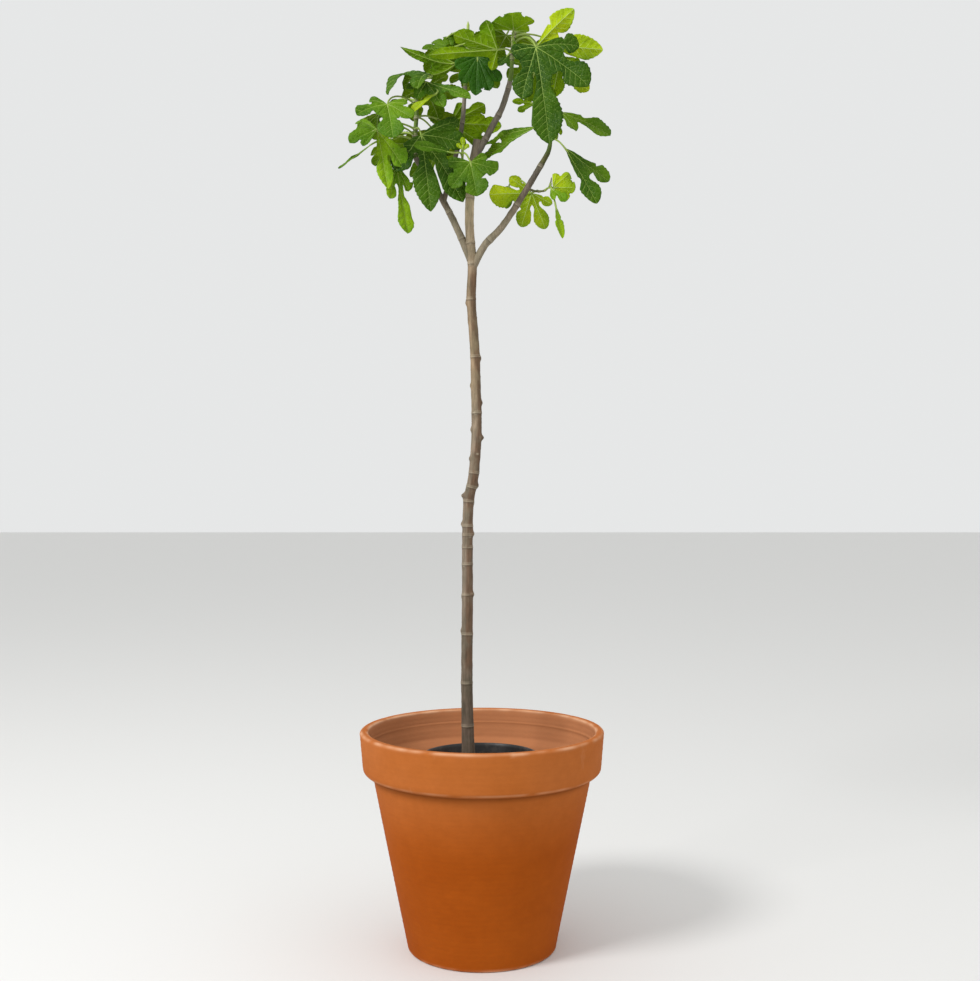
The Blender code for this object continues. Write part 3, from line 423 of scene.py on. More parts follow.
def far_leaf(x, z, size, shape, chance):
    """A leaf that grows away from the front, its upper side turned up and to the back, with
    its side lobes a little different from the shape's."""
    hub = at((x, chance.uniform(*FAR_DEPTH), z))
    turn = 90 + chance.uniform(-FAR_TURN, FAR_TURN)
    tip = hub + compass(turn, -chance.uniform(*FAR_DIP)) * size * CM
    lobes, notches = [], SHAPES[shape][1]
    for angle, share, half in SHAPES[shape][0]:
        if angle:
            angle += chance.uniform(-ANGLE_VARIETY, ANGLE_VARIETY)
            share *= 1 + chance.uniform(-LENGTH_VARIETY, LENGTH_VARIETY)
        lobes.append((angle, share, half))
    fanned = turn - FAR_FAN * min(max(x - FAR_MIDDLE, -FAR_FAN_REACH), FAR_FAN_REACH)
    return dict(hub=hub, tip=tip, face=compass(fanned, FAR_FACE_RISE), lobes=lobes, notches=notches,
                droop=0.25, cup=0, widest=0.66, point=0.6)


# Looks.

class Surface:
    """A Principled material and the nodes that feed its shader."""

    def __init__(self, name, roughness, specular=0.5):
        self.made = bpy.data.materials.new(name)
        self.made.use_nodes = True
        self.tree = self.made.node_tree
        self.shader = self.tree.nodes["Principled BSDF"]
        self.feed(self.shader, {"Roughness": roughness, "Specular IOR Level": specular})

    def feed(self, node, inputs):
        """Gives a node's inputs their values: each a socket, a number, a size or a colour."""
        for key, value in inputs.items():
            socket = node.inputs[key]
            if isinstance(value, bpy.types.NodeSocket):
                self.tree.links.new(value, socket)
            else:
                socket.default_value = (*value, 1) if socket.type == "RGBA" else value

    def node(self, kind, inputs, output=0, **settings):
        made = self.tree.nodes.new("ShaderNode" + kind)
        for key, value in settings.items():
            setattr(made, key, value)
        self.feed(made, inputs)
        return made.outputs[output]

    def place(self, *scale):
        """Object coordinates, stretched."""
        coords = self.node("TexCoord", {}, "Object")
        return self.node("Mapping", {"Vector": coords, "Scale": scale or (1, 1, 1)})

    def noise(self, place, scale, detail=3.0, roughness=0.55):
        inputs = {"Vector": place, "Scale": scale, "Detail": detail, "Roughness": roughness}
        return self.node("TexNoise", inputs, "Fac")

    def ramp(self, value, stops):
        """A colour ramp through (place, colour) stops."""
        ramp = self.tree.nodes.new("ShaderNodeValToRGB")
        elements = ramp.color_ramp.elements
        while len(elements) < len(stops):
            elements.new(0.5)
        for element, (where, colour) in zip(elements, stops):
            element.position = where
            element.color = (*colour, 1)
        self.feed(ramp, {"Fac": value})
        return ramp.outputs["Color"]

    def mix(self, share, first, second, kind="MIX"):
        return self.node("Mix", {0: share, 6: first, 7: second}, 2, data_type="RGBA", blend_type=kind)

    def tinted(self, colour, value, *stops):
        """The colour multiplied by a ramp."""
        return self.mix(1.0, colour, self.ramp(value, stops), "MULTIPLY")

    def math(self, kind, first, second):
        return self.node("Math", {0: first, 1: second}, operation=kind)

    def times(self, first, second):
        return self.math("MULTIPLY", first, second)

    def span(self, value, low, high):
        """0 at low, 1 at high, smooth between."""
        inputs = {"Value": value, "From Min": low, "From Max": high}
        return self.node("MapRange", inputs, "Result", interpolation_type="SMOOTHSTEP")

    def attribute(self, name):
        return self.node("Attribute", {}, "Fac", attribute_name=name)

    def height(self):
        """The height above the floor, in metres."""
        return self.node("SeparateXYZ", {0: self.place()}, "Z")

    def done(self, colour, relief=None, strength=0.0, distance=0.0):
        """The material, once its colour and its bump reach the shader."""
        self.feed(self.shader, {"Base Color": colour})
        if relief:
            inputs = {"Strength": strength, "Distance": distance, "Height": relief}
            self.feed(self.shader, {"Normal": self.node("Bump", inputs, "Normal")})
        return self.made


def terracotta_material():
    """Burnt orange on the body, paler and dustier towards the rim, and worn on the edges, with painted bounce
    light on the inner wall above the fill and painted shade in the crease under the rim and at the inner
    ledge.
    """
    clay = Surface("terracotta", 0.88, 0.10)
    broad = clay.noise(clay.place(1, 1, 1.6), 5)
    fine = clay.noise(clay.place(), 60, 4, 0.65)
    height = clay.height()
    body = clay.ramp(broad, ((0.30, (0.335, 0.067, 0.003)), (0.70, (0.385, 0.083, 0.005))))
    upper = clay.ramp(broad, ((0.30, (0.425, 0.118, 0.020)), (0.70, (0.475, 0.143, 0.034))))
    colour = clay.mix(clay.span(height, 0.16, 0.33), body, upper)
    colour = clay.tinted(colour, fine, (0.35, (0.94, 0.93, 0.92)), (0.75, (1.03, 1.03, 1.04)))
    bloom = clay.span(clay.noise(clay.place(1, 1, 0.35), 22, 5, 0.7), 0.62, 0.82)
    bloom = clay.times(clay.times(bloom, clay.span(height, 0.20, 0.34)), 0.35)
    # pale wear on the edges and chips, with painted bounce light on the inner wall above the fill, then
    # near-black painted shade in the crease under the rim and at the inner ledge
    for share, tone in ((bloom, (0.62, 0.32, 0.17)), (clay.attribute("worn"), (0.78, 0.46, 0.28)),
                        (clay.attribute("grime"), (0.110, 0.024, 0.002))):
        colour = clay.mix(share, colour, tone)
    return clay.done(colour, fine, 0.25, 0.0008)


def plastic_material():
    plastic = Surface("black_plastic", 0.45)
    place = plastic.place()
    dust = plastic.noise(place, 45, 4, 0.7)
    colour = plastic.ramp(dust, ((0.45, (0.012, 0.012, 0.012)), (0.75, (0.055, 0.045, 0.038))))
    return plastic.done(colour, plastic.noise(place, 400, 2), 0.1, 0.0004)


def compost_material(name, dark, light):
    soil = Surface(name, 0.95, 0.2)
    crumbs = soil.noise(soil.place(), 160, 5, 0.7)
    return soil.done(soil.ramp(crumbs, ((0.35, dark), (0.7, light))), crumbs, 0.7, 0.003)


def bark_material(name, tones, side_shade=None):
    """Bark whose tone goes with the height: tones are (height in metres, colour). Given a tone and two
    heights, painted shade turns the bark that red-brown on its side away from the key light, between those
    heights."""
    bark = Surface(name, 0.72, 0.30)
    height = bark.height()
    low, high = tones[0][0], tones[-1][0]
    share = bark.math("DIVIDE", bark.math("SUBTRACT", height, low), high - low)
    colour = bark.ramp(share, [((z - low) / (high - low), tone) for z, tone in tones])
    long_grain = bark.noise(bark.place(1, 1, 0.22), 170, 4, 0.6)
    streaks = bark.noise(bark.place(1, 1, 0.07), 430, 3, 0.6)
    patches = bark.noise(bark.place(1, 1, 0.6), 55)
    # painted shade: red-brown in patches on the side away from the key light, between the two heights
    if side_shade:
        red, start, end = side_shade
        window = bark.times(bark.span(height, start, start + 0.03), bark.span(height, end, end - 0.02))
        side = bark.times(bark.times(bark.attribute("weather"), window), bark.span(patches, 0.25, 0.55))
        colour = bark.mix(side, colour, red)
    for grain, dim, lit in ((long_grain, (0.74, 0.73, 0.70), (1.20, 1.18, 1.15)),
                            (streaks, (0.80, 0.79, 0.77), (1.20, 1.20, 1.20)),
                            (patches, (0.80, 0.84, 0.78), (1.18, 1.14, 1.12))):
        colour = bark.tinted(colour, grain, (0.32, dim), (0.70, lit))
    for mark, most, tone in (("scar", 0.80, (0.045, 0.030, 0.020)), ("crest", 0.75, (0.46, 0.40, 0.29))):
        colour = bark.mix(bark.times(bark.attribute(mark), most), colour, tone)
    return bark.done(colour, long_grain, 0.35, 0.0006)


def leaf_material(name, colour, vein, roughness, specular):
    """A leaf's surface: its own green, with broad patches of painted light and shade, finely mottled, with a
    fine net of paler veins sunk in it.
    """
    skin = Surface(name, roughness, specular)
    place = skin.place()
    red, green, blue = colour
    # painted light and shade: broad patches paler and yellower where light would shine through the leaf, and
    # darker between
    tone = skin.ramp(skin.noise(place, 16, 2, 0.5), (
        (0.34, (0.62 * red, 0.74 * green, blue)), (0.50, colour), (0.66, (1.45 * red, 1.28 * green, blue))))
    mottle = skin.noise(place, 60, 4, 0.6)
    tone = skin.tinted(tone, mottle, (0.30, (0.84, 0.86, 0.80)), (0.70, (1.16, 1.12, 1.10)))
    net = skin.node("TexVoronoi", {"Vector": place, "Scale": NET_SCALE}, "Distance",
                    feature="DISTANCE_TO_EDGE")
    tone = skin.mix(skin.times(skin.span(net, 0.07, 0.0), 0.16), tone, vein)
    return skin.done(tone, skin.span(net, 0.0, 0.30), 0.55, 0.0009)


def plain_material(name, colour, roughness):
    """A slim green piece: a vein, a stalk."""
    skin = Surface(name, roughness, 0.4)
    low, high = (tuple(c * gain for c in colour) for gain in (0.86, 1.12))
    return skin.done(skin.ramp(skin.noise(skin.place(), 120, 2), ((0.3, low), (0.7, high))))


def add_mesh(name, points, faces, materials, slot, merge=0.0, tones=None):
    """Adds a piece. Tones are the numbers of its faces' materials, where it has several."""
    mesh = bpy.data.meshes.new(name)
    mesh.from_pydata([tuple(p) for p in points], [], faces)
    mesh.validate()
    for one in materials:
        mesh.materials.append(one)
    if tones:
        mesh.polygons.foreach_set("material_index", tones)
    if merge:
        work = bmesh.new()
        work.from_mesh(mesh)
        bmesh.ops.remove_doubles(work, verts=work.verts, dist=merge)
        work.to_mesh(mesh)
        work.free()
    mesh.shade_smooth()
    made = bpy.data.objects.new(name, mesh)
    bpy.context.scene.collection.objects.link(made)
    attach(made, "root")
    return made


def set_attributes(made, **layers):
    """Numbers for each point, which the material reads."""
    for name, values in layers.items():
        layer = made.data.attributes.new(name, "FLOAT", "POINT")
        layer.data.foreach_set("value", np.asarray(values, np.float32))


def rough(point, scale, seed=0.0):
    """Smooth noise, about -1 to 1, with features of the size 1 / scale."""
    return noise.noise(Vector(point) * scale + Vector((seed, 0.7 * seed, 1.3 * seed)))


def hill(x):
    """1 at 0, and hardly anything past 2 on either side."""
    return math.exp(-x * x)


def turns(sides):
    """So many directions round a circle, in radians."""
    return [2 * math.pi * i / sides for i in range(sides)]


def grid_faces(rows, columns, start=0):
    """Quads of a grid that closes round on itself."""
    found = []
    for k in range(rows - 1):
        for i in range(columns):
            j = (i + 1) % columns
            here, above = start + k * columns, start + (k + 1) * columns
            found.append((here + i, here + j, above + j, above + i))
    return found


def closed_grid(rows, columns):
    """The same, with a fan at each end round a point. Those two points follow the grid's."""
    first, top = rows * columns, (rows - 1) * columns
    found = grid_faces(rows, columns)
    for i in range(columns):
        j = (i + 1) % columns
        found += [(first, j, i), (first + 1, top + i, top + j)]
    return found


def arc(centre, radius, start, end, steps):
    angles = [math.radians(start + (end - start) * k / steps) for k in range(steps + 1)]
    return [(centre[0] + radius * math.cos(a), centre[1] + radius * math.sin(a)) for a in angles]


def subdivided(outline, longest):
    """The outline with every span split to at most the longest length."""
    found = [outline[0]]
    for (r0, z0), (r1, z1) in zip(outline, outline[1:]):
        parts = max(1, math.ceil(math.hypot(r1 - r0, z1 - z0) / longest))
        found += [(r0 + (r1 - r0) * k / parts, z0 + (z1 - z0) * k / parts) for k in range(1, parts + 1)]
    return found


def on_circle(centre, radius, turn, z):
    return centre[0] + radius * math.cos(turn), centre[1] + radius * math.sin(turn), z


def turned(name, outline, sides, finish, slot, node, relief, centre=(0.0, 0.0)):
    """A body turned from an outline of (radius, height) that starts and ends on the axis, in
    place of a node."""
    inside = outline[1:-1]
    points = [on_circle(centre, r + relief(r, z, turn), turn, z) for r, z in inside for turn in turns(sides)]
    points += [(*centre, outline[0][1]), (*centre, outline[-1][1])]
    made = add_mesh(name, points, closed_grid(len(inside), sides), [finish], slot)
    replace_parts(made, node)
    return made


POT_SIDES = 180
RIM_BOTTOM = POT_HEIGHT - RIM_DEPTH
LEDGE = POT_HEIGHT - LEDGE_DEPTH
POT_SLOPE = (POT_NECK_RADIUS - POT_FOOT_RADIUS) / RIM_BOTTOM
CHIPS = ((-76, 0.0016, 0.005), (38, 0.0014, 0.005), (150, 0.0018, 0.006), (233, 0.0012, 0.004))


def chip_depth(r, z, turn):
    """How far the rim's outer top edge is knocked back."""
    if z < POT_HEIGHT - 0.012 or r < RIM_RADIUS - 0.010:
        return 0.0
    found = 0.0
    for degrees, depth, width in CHIPS:
        away = (math.degrees(turn) - degrees + 180) % 360 - 180
        along = math.radians(away) * RIM_RADIUS
        edge = math.hypot(r - RIM_RADIUS, z - POT_HEIGHT) / 0.007
        found += depth * hill(2 * along / width) * max(0.0, 1 - edge)
    return found


def pot_relief(r, z, turn):
    """The pot isn't quite true: it swells a little, shows throwing lines and is chipped."""
    x, y = math.cos(turn), math.sin(turn)
    swell = 0.0005 * rough((x * 0.2, y * 0.2, z), 6)
    lines = 0.00018 * math.sin(z * 2 * math.pi / 0.0085 + 2 * rough((x, y, z), 1.2))
    pores = 0.00022 * rough((x * r, y * r, z), 140)
    return (swell * smooth(z / 0.01) + lines * smooth((z - 0.004) / 0.01) + pores * smooth(z / 0.004)
            - chip_depth(r, z, turn))


def inner_wall(z):
    """Radius of the body's inner wall at a height."""
    return POT_FOOT_RADIUS + POT_SLOPE * z - POT_WALL


def make_pot():
    low, high, foot = 0.012, 0.005, 0.003
    outline = [
        (0, 0), (0.02, 0),
        *arc((POT_FOOT_RADIUS - foot, foot), foot, -90, 0, 6),
        (POT_NECK_RADIUS, RIM_BOTTOM),
        *arc((RIM_BOTTOM_RADIUS - low, RIM_BOTTOM + low), low, -90, 0, 10),
        *arc((RIM_RADIUS - high, POT_HEIGHT - high), high, 0, 90, 8),
        *arc((MOUTH_RADIUS + high, POT_HEIGHT - high), high, 90, 180, 8),
        (MOUTH_RADIUS, LEDGE + LEDGE_STEP),
        (MOUTH_RADIUS - LEDGE_STEP, LEDGE),
        (MOUTH_RADIUS - LEDGE_STEP - 0.003, RIM_BOTTOM + 0.02),
        (POT_NECK_RADIUS - POT_WALL, RIM_BOTTOM - 0.01),
        (inner_wall(POT_FLOOR), POT_FLOOR),
        (0, POT_FLOOR),
    ]
    clay = terracotta_material()
    made = turned("pot_terracotta", subdivided(outline, 0.003), POT_SIDES, clay, "terracotta",
                  "terracotta_pot", pot_relief)
    lip = POT_HEIGHT - 0.001
    edges = ((RIM_RADIUS - 0.001, lip, 0.0045), (MOUTH_RADIUS + 0.001, lip, 0.0045),
             (RIM_BOTTOM_RADIUS, RIM_BOTTOM + 0.003, 0.005), (POT_FOOT_RADIUS, 0, 0.004))
    worn, grime = [], []
    for point in made.data.vertices:
        x, y, z = point.co
        r, turn = math.hypot(x, y), math.atan2(y, x)
        chip = chip_depth(max(r, RIM_RADIUS - 0.004), z, turn) / 0.002
        edge = max(0.0, *(1 - math.hypot(r - er, z - ez) / reach for er, ez, reach in edges))
        patchy = smooth(0.55 + 0.8 * rough((x, y, z), 45, 3))
        wall = POT_FOOT_RADIUS + POT_SLOPE * z if z < RIM_BOTTOM + 0.004 else RIM_BOTTOM_RADIUS
        # painted bounce light: the inner wall above the fill made paler, as if lit; the rest of this share is
        # real wear on the edges and chips
        bounce_light = 0.26 * (z > FILL_TOP) * (r < wall - POT_WALL / 2)
        worn.append(min(1.0, 0.75 * edge * patchy + 0.6 * min(chip, 1.0) + bounce_light))
        # painted shade: darker in the crease under the rim and in the corner of the inner ledge
        crease = math.hypot(r - POT_NECK_RADIUS - 0.003, 1.4 * (z - RIM_BOTTOM)) / 0.009
        inner_step = math.hypot(r - MOUTH_RADIUS + LEDGE_STEP, z - LEDGE) / 0.0022
        grime.append(0.75 * hill(crease) + 0.5 * hill(inner_step))
    set_attributes(made, worn=worn, grime=grime)


def make_nursery_pot():
    foot = NURSERY_RIM_TOP - NURSERY_DEPTH
    skirt = NURSERY_RIM_TOP - NURSERY_RIM_DEPTH
    wall = NURSERY_WALL
    outline = [
        (0, foot),
        (NURSERY_FOOT_RADIUS, foot),
        (NURSERY_TOP_RADIUS - 0.001, skirt - 0.006),
        (NURSERY_TOP_RADIUS, skirt),
        (NURSERY_RIM_RADIUS - wall, skirt + 0.001),
        (NURSERY_RIM_RADIUS - wall / 2, skirt + 0.006),
        (NURSERY_RIM_RADIUS, NURSERY_RIM_TOP - wall),
        (NURSERY_RIM_RADIUS - wall / 2, NURSERY_RIM_TOP),
        (NURSERY_RIM_RADIUS - 1.5 * wall, NURSERY_RIM_TOP),
        (NURSERY_RIM_RADIUS - 2 * wall, NURSERY_RIM_TOP - wall / 2),
        (NURSERY_TOP_RADIUS - wall, skirt),
        (NURSERY_FOOT_RADIUS - wall, foot + wall),
        (0, foot + wall),
    ]

    def out_of_true(r, z, turn):
        return 0.0006 * math.sin(2 * turn + 0.6) * smooth((z - foot) / 0.1)

    turned("pot_nursery", subdivided(outline, 0.006), 120, plastic_material(), "black_plastic", "nursery_pot",
           out_of_true, NURSERY_CENTRE)


def disc(name, radius, base_radius, top, base, centre, lumps, finish, node):
    """A bed of compost: a lumpy top over plain sides that narrow to its base."""
    sides, rings = 150, 34
    points = []
    for k in range(rings):
        for turn in turns(sides):
            x, y, _ = on_circle(centre, radius * k / (rings - 1), turn, top)
            height = lumps * (0.7 * rough((x, y, 0), 55) + 0.5 * rough((x, y, 0), 150, 4) - 0.35)
            points.append((x, y, top + height))
    points += [on_circle(centre, base_radius, turn, base) for turn in turns(sides)]
    faces = [tuple(reversed(face)) for face in grid_faces(rings + 1, sides)]
    faces.append(tuple(range(rings * sides, (rings + 1) * sides))[::-1])
    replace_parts(add_mesh(name, points, faces, [finish], "compost", merge=1e-5), node)


CRUMBS = 1100


def crumb(points, faces, where, size, chance):
    """One lump of compost or bark: a squashed, jagged eight-sided ball."""
    start = len(points)
    turn, stretch = chance.uniform(0, 6.28), chance.uniform(1, 1.9)
    for level, reach in ((-0.8, 0.45), (-0.1, 1.0), (0.6, 0.7)):
        for k in range(5):
            angle = turn + 2 * math.pi * (k + 0.5 * (level > 0)) / 5
            out = size * reach * chance.uniform(0.75, 1.2)
            points.append((where[0] + stretch * out * math.cos(angle), where[1] + out * math.sin(angle),
                           where[2] + size * level * 0.6))
    points.append((where[0], where[1], where[2] + size * 0.62))
    faces += grid_faces(3, 5, start)
    faces += [(start + 10 + k, start + 10 + (k + 1) % 5, start + 15) for k in range(5)]
    faces.append(tuple(start + k for k in range(5))[::-1])


def make_compost():
    soil = compost_material("compost", (0.018, 0.011, 0.007), (0.075, 0.046, 0.028))
    old_soil = compost_material("compost_fill", (0.025, 0.015, 0.009), (0.095, 0.058, 0.034))
    chips = compost_material("bark_chips", (0.05, 0.026, 0.014), (0.20, 0.11, 0.06))
    pale = compost_material("perlite", (0.45, 0.42, 0.37), (0.75, 0.72, 0.66))
    foot = NURSERY_RIM_TOP - NURSERY_DEPTH
    disc("soil_nursery", NURSERY_TOP_RADIUS - 0.0022, NURSERY_FOOT_RADIUS - 0.004, COMPOST_TOP, foot + 0.01,
         NURSERY_CENTRE, 0.005, soil, "compost")
    disc("soil_fill", inner_wall(FILL_TOP) - 0.001, inner_wall(POT_FLOOR) - 0.001, FILL_TOP,
         POT_FLOOR + 0.002, (0, 0), 0.006, old_soil, "pot_fill")
    low, high = NURSERY_TOP_RADIUS + 0.008, inner_wall(FILL_TOP) - 0.009
    chance = random.Random(11)
    for name, finish, share, sizes in (("soil_crumbs", soil, 0.55, (1.5, 4.0)),
                                       ("soil_chips", chips, 0.35, (1.8, 5.0)),
                                       ("soil_perlite", pale, 0.10, (1.0, 2.2))):
        points, faces = [], []
        for _ in range(int(CRUMBS * share)):
            inside = chance.random() < 0.35
            angle = chance.uniform(0, 2 * math.pi)
            size = chance.uniform(*sizes) * MM
            if inside:
                r = (NURSERY_TOP_RADIUS - 0.009) * math.sqrt(chance.random())
                centre, level = NURSERY_CENTRE, COMPOST_TOP
            else:
                r = math.sqrt(low ** 2 + (high ** 2 - low ** 2) * chance.random())
                centre, level = (0, 0), FILL_TOP
            crumb(points, faces, on_circle(centre, r, angle, level - 0.001), size, chance)
        made = add_mesh(name, points, faces, [finish], "compost")
        made.data.set_sharp_from_angle(angle=math.radians(35))


RING_STEP = 1.0 * MM
SHOOT_STEP = 1.5 * MM
# the middle of the bark's painted-shade side, round from +X: the right, away from the key light
SHADED_SIDE = math.radians(-12)


def resampled(line, step):
    """The same smooth line with a point about every step."""
    run = run_of(line)
    wanted = np.linspace(0, run[-1], max(2, int(round(run[-1] / step)) + 1))
    found = np.stack([np.interp(wanted, run, line[:, k]) for k in range(3)], 1)
    for _ in range(6):
        found[1:-1] = (found[:-2] + 2 * found[1:-1] + found[2:]) / 4
    return found


def frames(line, sideways, level_start=False):
    """The two directions across a line at each of its points, without a twist."""
    for k in range(len(line)):
        along = unit(line[min(k + 1, len(line) - 1)] - line[max(k - 1, 0)])
        if level_start and k == 0:
            along = -DOWN
        sideways = across_to(sideways, along)
        yield sideways, np.cross(along, sideways)


def limb(name, line, radii, sides, finish, scars, bumps=(), level_start=False, seed=0.0, tip_cap=0.5,
         tip_mark=0.9, slot="bark"):
    """A limb with its bark's relief. Scars are distances along it, and a bump is its distance
    along the limb, degrees round, height and reach. A scar is two fine pale rings with a
    dark line under them and a leaf mark on one side, and a bump ends in a pale cut."""
    run = run_of(line)
    points, marks, crests, weather = [], [], [], []
    chance = random.Random(f"{name} {seed}")
    leaf_marks = [(scar, chance.uniform(0, 2 * math.pi)) for scar in scars]
    for k, (sideways, forward) in enumerate(frames(line, np.array((1.0, 0.0, 0.0)), level_start)):
        ring, crest, under = 0.0, 0.0, 0.0
        for scar in scars:
            away = (run[k] - scar) / MM
            crest += hill(away / 0.8) + 0.6 * hill((away - 2.6) / 0.8)
            under += hill((away + 2.0) / 1.2)
            ring += 0.55 * hill(away / 0.7) + 0.4 * hill((away - 2.6) / 0.6)
            ring += 0.035 * radii[k] / MM * hill(away / 5)
        for turn in turns(sides):
            out = sideways * math.cos(turn) + forward * math.sin(turn)
            reach, mark, light = radii[k] + ring * MM, 0.0, 0.0
            for where, around, height, length in bumps:
                near = (run[k] - where) / length
                if abs(near) > 3:
                    continue
                facing = max(0.0, math.cos(turn - math.radians(around)))
                reach += height * facing ** 4 * hill(near)
                core = facing ** 50 * hill(near * 3.4)
                mark += 0.9 * facing ** 14 * hill(near * 1.9) * (1 - core)
                light += core
            for scar, side in leaf_marks:
                near = (run[k] - scar + 3 * MM) / (3.2 * MM)
                if abs(near) > 3:
                    continue
                facing = max(0.0, math.cos(turn - side)) ** 6
                reach += 0.7 * MM * facing * hill(near)
                core = facing ** 4 * hill(near * 2.2)
                mark += 0.6 * facing ** 2 * hill(near * 1.5) * (1 - core)
                light += 0.45 * core
            skin = line[k] + out * radii[k]
            stretched = (skin[0], skin[1], skin[2] * 0.25)
            reach += 0.30 * MM * rough(stretched, 260, seed) + 0.34 * MM * rough(skin, 90, seed + 5)
            reach += 0.30 * MM * smooth((rough(skin, 330, seed + 9) - 0.42) / 0.25)
            light += 0.75 * crest * smooth(0.9 + 1.4 * rough(skin, 130, seed + 3))
            mark += 0.55 * under + 0.25 * smooth((rough(skin, 75, seed + 2) - 0.45) / 0.3)
            # painted shade: how much a point faces the side away from the key light
            shadeward = math.cos(turn - SHADED_SIDE) + 0.10 + 0.6 * rough(stretched, 60, seed)
            points.append(line[k] + out * reach)
            marks.append(min(mark, 1.0))
            crests.append(min(light, 1.0))
            weather.append(0.8 * smooth(shadeward / 0.5))
    points += [line[0], line[-1] + unit(line[-1] - line[-2]) * radii[-1] * tip_cap]
    made = add_mesh(name, points, closed_grid(len(line), sides), [finish], slot)
    ends = [0.0, 0.0]
    set_attributes(made, scar=marks + [0.0, tip_mark], crest=crests + ends, weather=weather + ends)
    return made


def make_trunk():
    line = route(TRUNK, TRUNK_STEPS)
    heights, run = line[:, 2], run_of(line)
    scars = np.interp([z * CM for z in SCARS], heights, run)
    stubs = np.interp([stub[0] * CM for stub in STUBS], heights, run)
    bumps = [(s, around, high * CM, 0.42 * CM) for s, (_, around, high) in zip(stubs, STUBS)]
    line = resampled(line, RING_STEP)
    run = run_of(line)
    radii = []
    for s in run:
        radius = TRUNK_FOOT_RADIUS + (TRUNK_TIP_RADIUS - TRUNK_FOOT_RADIUS) * s / run[-1]
        radii.append((radius + FLARE * math.exp(-s / (FLARE_HEIGHT * CM))) * CM)
    # its red-brown side is painted shade, away from the key light
    bark = bark_material("bark_trunk", (
        (0.30, (0.125, 0.096, 0.074)), (0.45, (0.138, 0.110, 0.082)), (0.62, (0.225, 0.182, 0.142)),
        (0.74, (0.190, 0.148, 0.110)), (0.83, (0.250, 0.200, 0.152)), (0.95, (0.280, 0.206, 0.134)),
        (1.10, (0.220, 0.162, 0.106)), (1.16, (0.34, 0.270, 0.190)), (1.22, (0.52, 0.42, 0.29)),
        (1.30, (0.26, 0.215, 0.165)), (1.33, (0.16, 0.135, 0.110))),
        side_shade=((0.120, 0.066, 0.036), 0.44, 1.115))
    made = limb("bark_trunk", line, radii, 44, bark, scars, bumps, level_start=True, seed=1.0, tip_cap=0.25)
    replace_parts(made, "trunk")


def make_boughs():
    fork = (1.10, (0.25, 0.205, 0.150)), (1.18, (0.27, 0.230, 0.170))
    grey = bark_material("bark_boughs", (
        *fork, (1.23, (0.170, 0.136, 0.104)), (1.27, (0.120, 0.100, 0.082)), (1.40, (0.200, 0.175, 0.150)),
        (1.46, (0.150, 0.150, 0.090))))
    green_tipped = bark_material("bark_right_bough", (
        *fork, (1.22, (0.150, 0.118, 0.090)), (1.26, (0.100, 0.084, 0.070)), (1.28, (0.075, 0.072, 0.032))))
    for number, bough_name in enumerate(BOUGHS):
        _, thick, thin = BOUGHS[bough_name]
        line, end = limb_line(bough_name)
        line = line[:end + 1]
        length = run_of(line)[-1]
        scars = [share * length for share in BOUGH_SCARS[bough_name]]
        line = resampled(line, RING_STEP)
        run = run_of(line)
        radii = [(thick + (thin - thick) * s / run[-1]) * CM for s in run]
        bark = green_tipped if bough_name == "bough_right" else grey
        made = limb(bough_name.replace("bough", "bark"), line, radii, 28, bark, scars, seed=3.0 + number)
        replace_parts(made, bough_name)


# Each tone of a leaf: its upper side, its under side and its veins. Besides the leaves' own greens, young
# leaves yellower, the tones hold painted light and shade: the brighter tones stand for light shining through
# leaves and the darker ones for leaves in shade, and each under side is made paler partly as painted light
# through the blade.
TONES = {
    "deep": ((0.018, 0.078, 0.0005), (0.080, 0.140, 0.003), (0.07, 0.17, 0.02)),
    "dark": ((0.028, 0.082, 0.001), (0.090, 0.160, 0.003), (0.22, 0.33, 0.05)),
    "mid": ((0.055, 0.132, 0.002), (0.120, 0.220, 0.003), (0.24, 0.35, 0.05)),
    "light": ((0.078, 0.180, 0.003), (0.150, 0.270, 0.003), (0.28, 0.40, 0.06)),
    "bright": ((0.170, 0.320, 0.005), (0.210, 0.370, 0.004), (0.32, 0.45, 0.07)),
    "young": ((0.215, 0.330, 0.004), (0.270, 0.395, 0.008), (0.42, 0.56, 0.12)),
}
FAR_TONES = ("dark", "mid", "mid", "light")
# the tones of each mass's leaves that show from the front, in their order; brighter or darker partly as
# painted light and shade
LEAF_TONES = {
    "foliage_top": "dark young young bright bright dark light",
    "foliage_upright": "deep mid mid",
    "foliage_left": "light light bright light bright dark mid light young light",
    "foliage_centre": "mid mid young",
    "foliage_right": "light mid light light",
    "foliage_low_right": "young young bright bright",
}
NET_SCALE = 150
ROW_STEP = 2.4 * MM
ACROSS = 7
VEIN_SPACING = 11 * MM
VEIN_SLOPE = 0.85
SUNKEN = 0.75
QUILT = 2.0 * MM
SCALLOP = 0.045
SCALLOP_STEP = 7 * MM
WAVE = 3.0 * MM
WAVE_STEP = 38 * MM
CRUMPLE = 7 * MM
CRUMPLE_SCALE = 17
BLADE = 0.5 * MM
RIB_RADII = (0.95 * MM, 0.36 * MM)
VEIN_RADII = (0.46 * MM, 0.31 * MM)
VEIN_STEP = 1.5 * MM


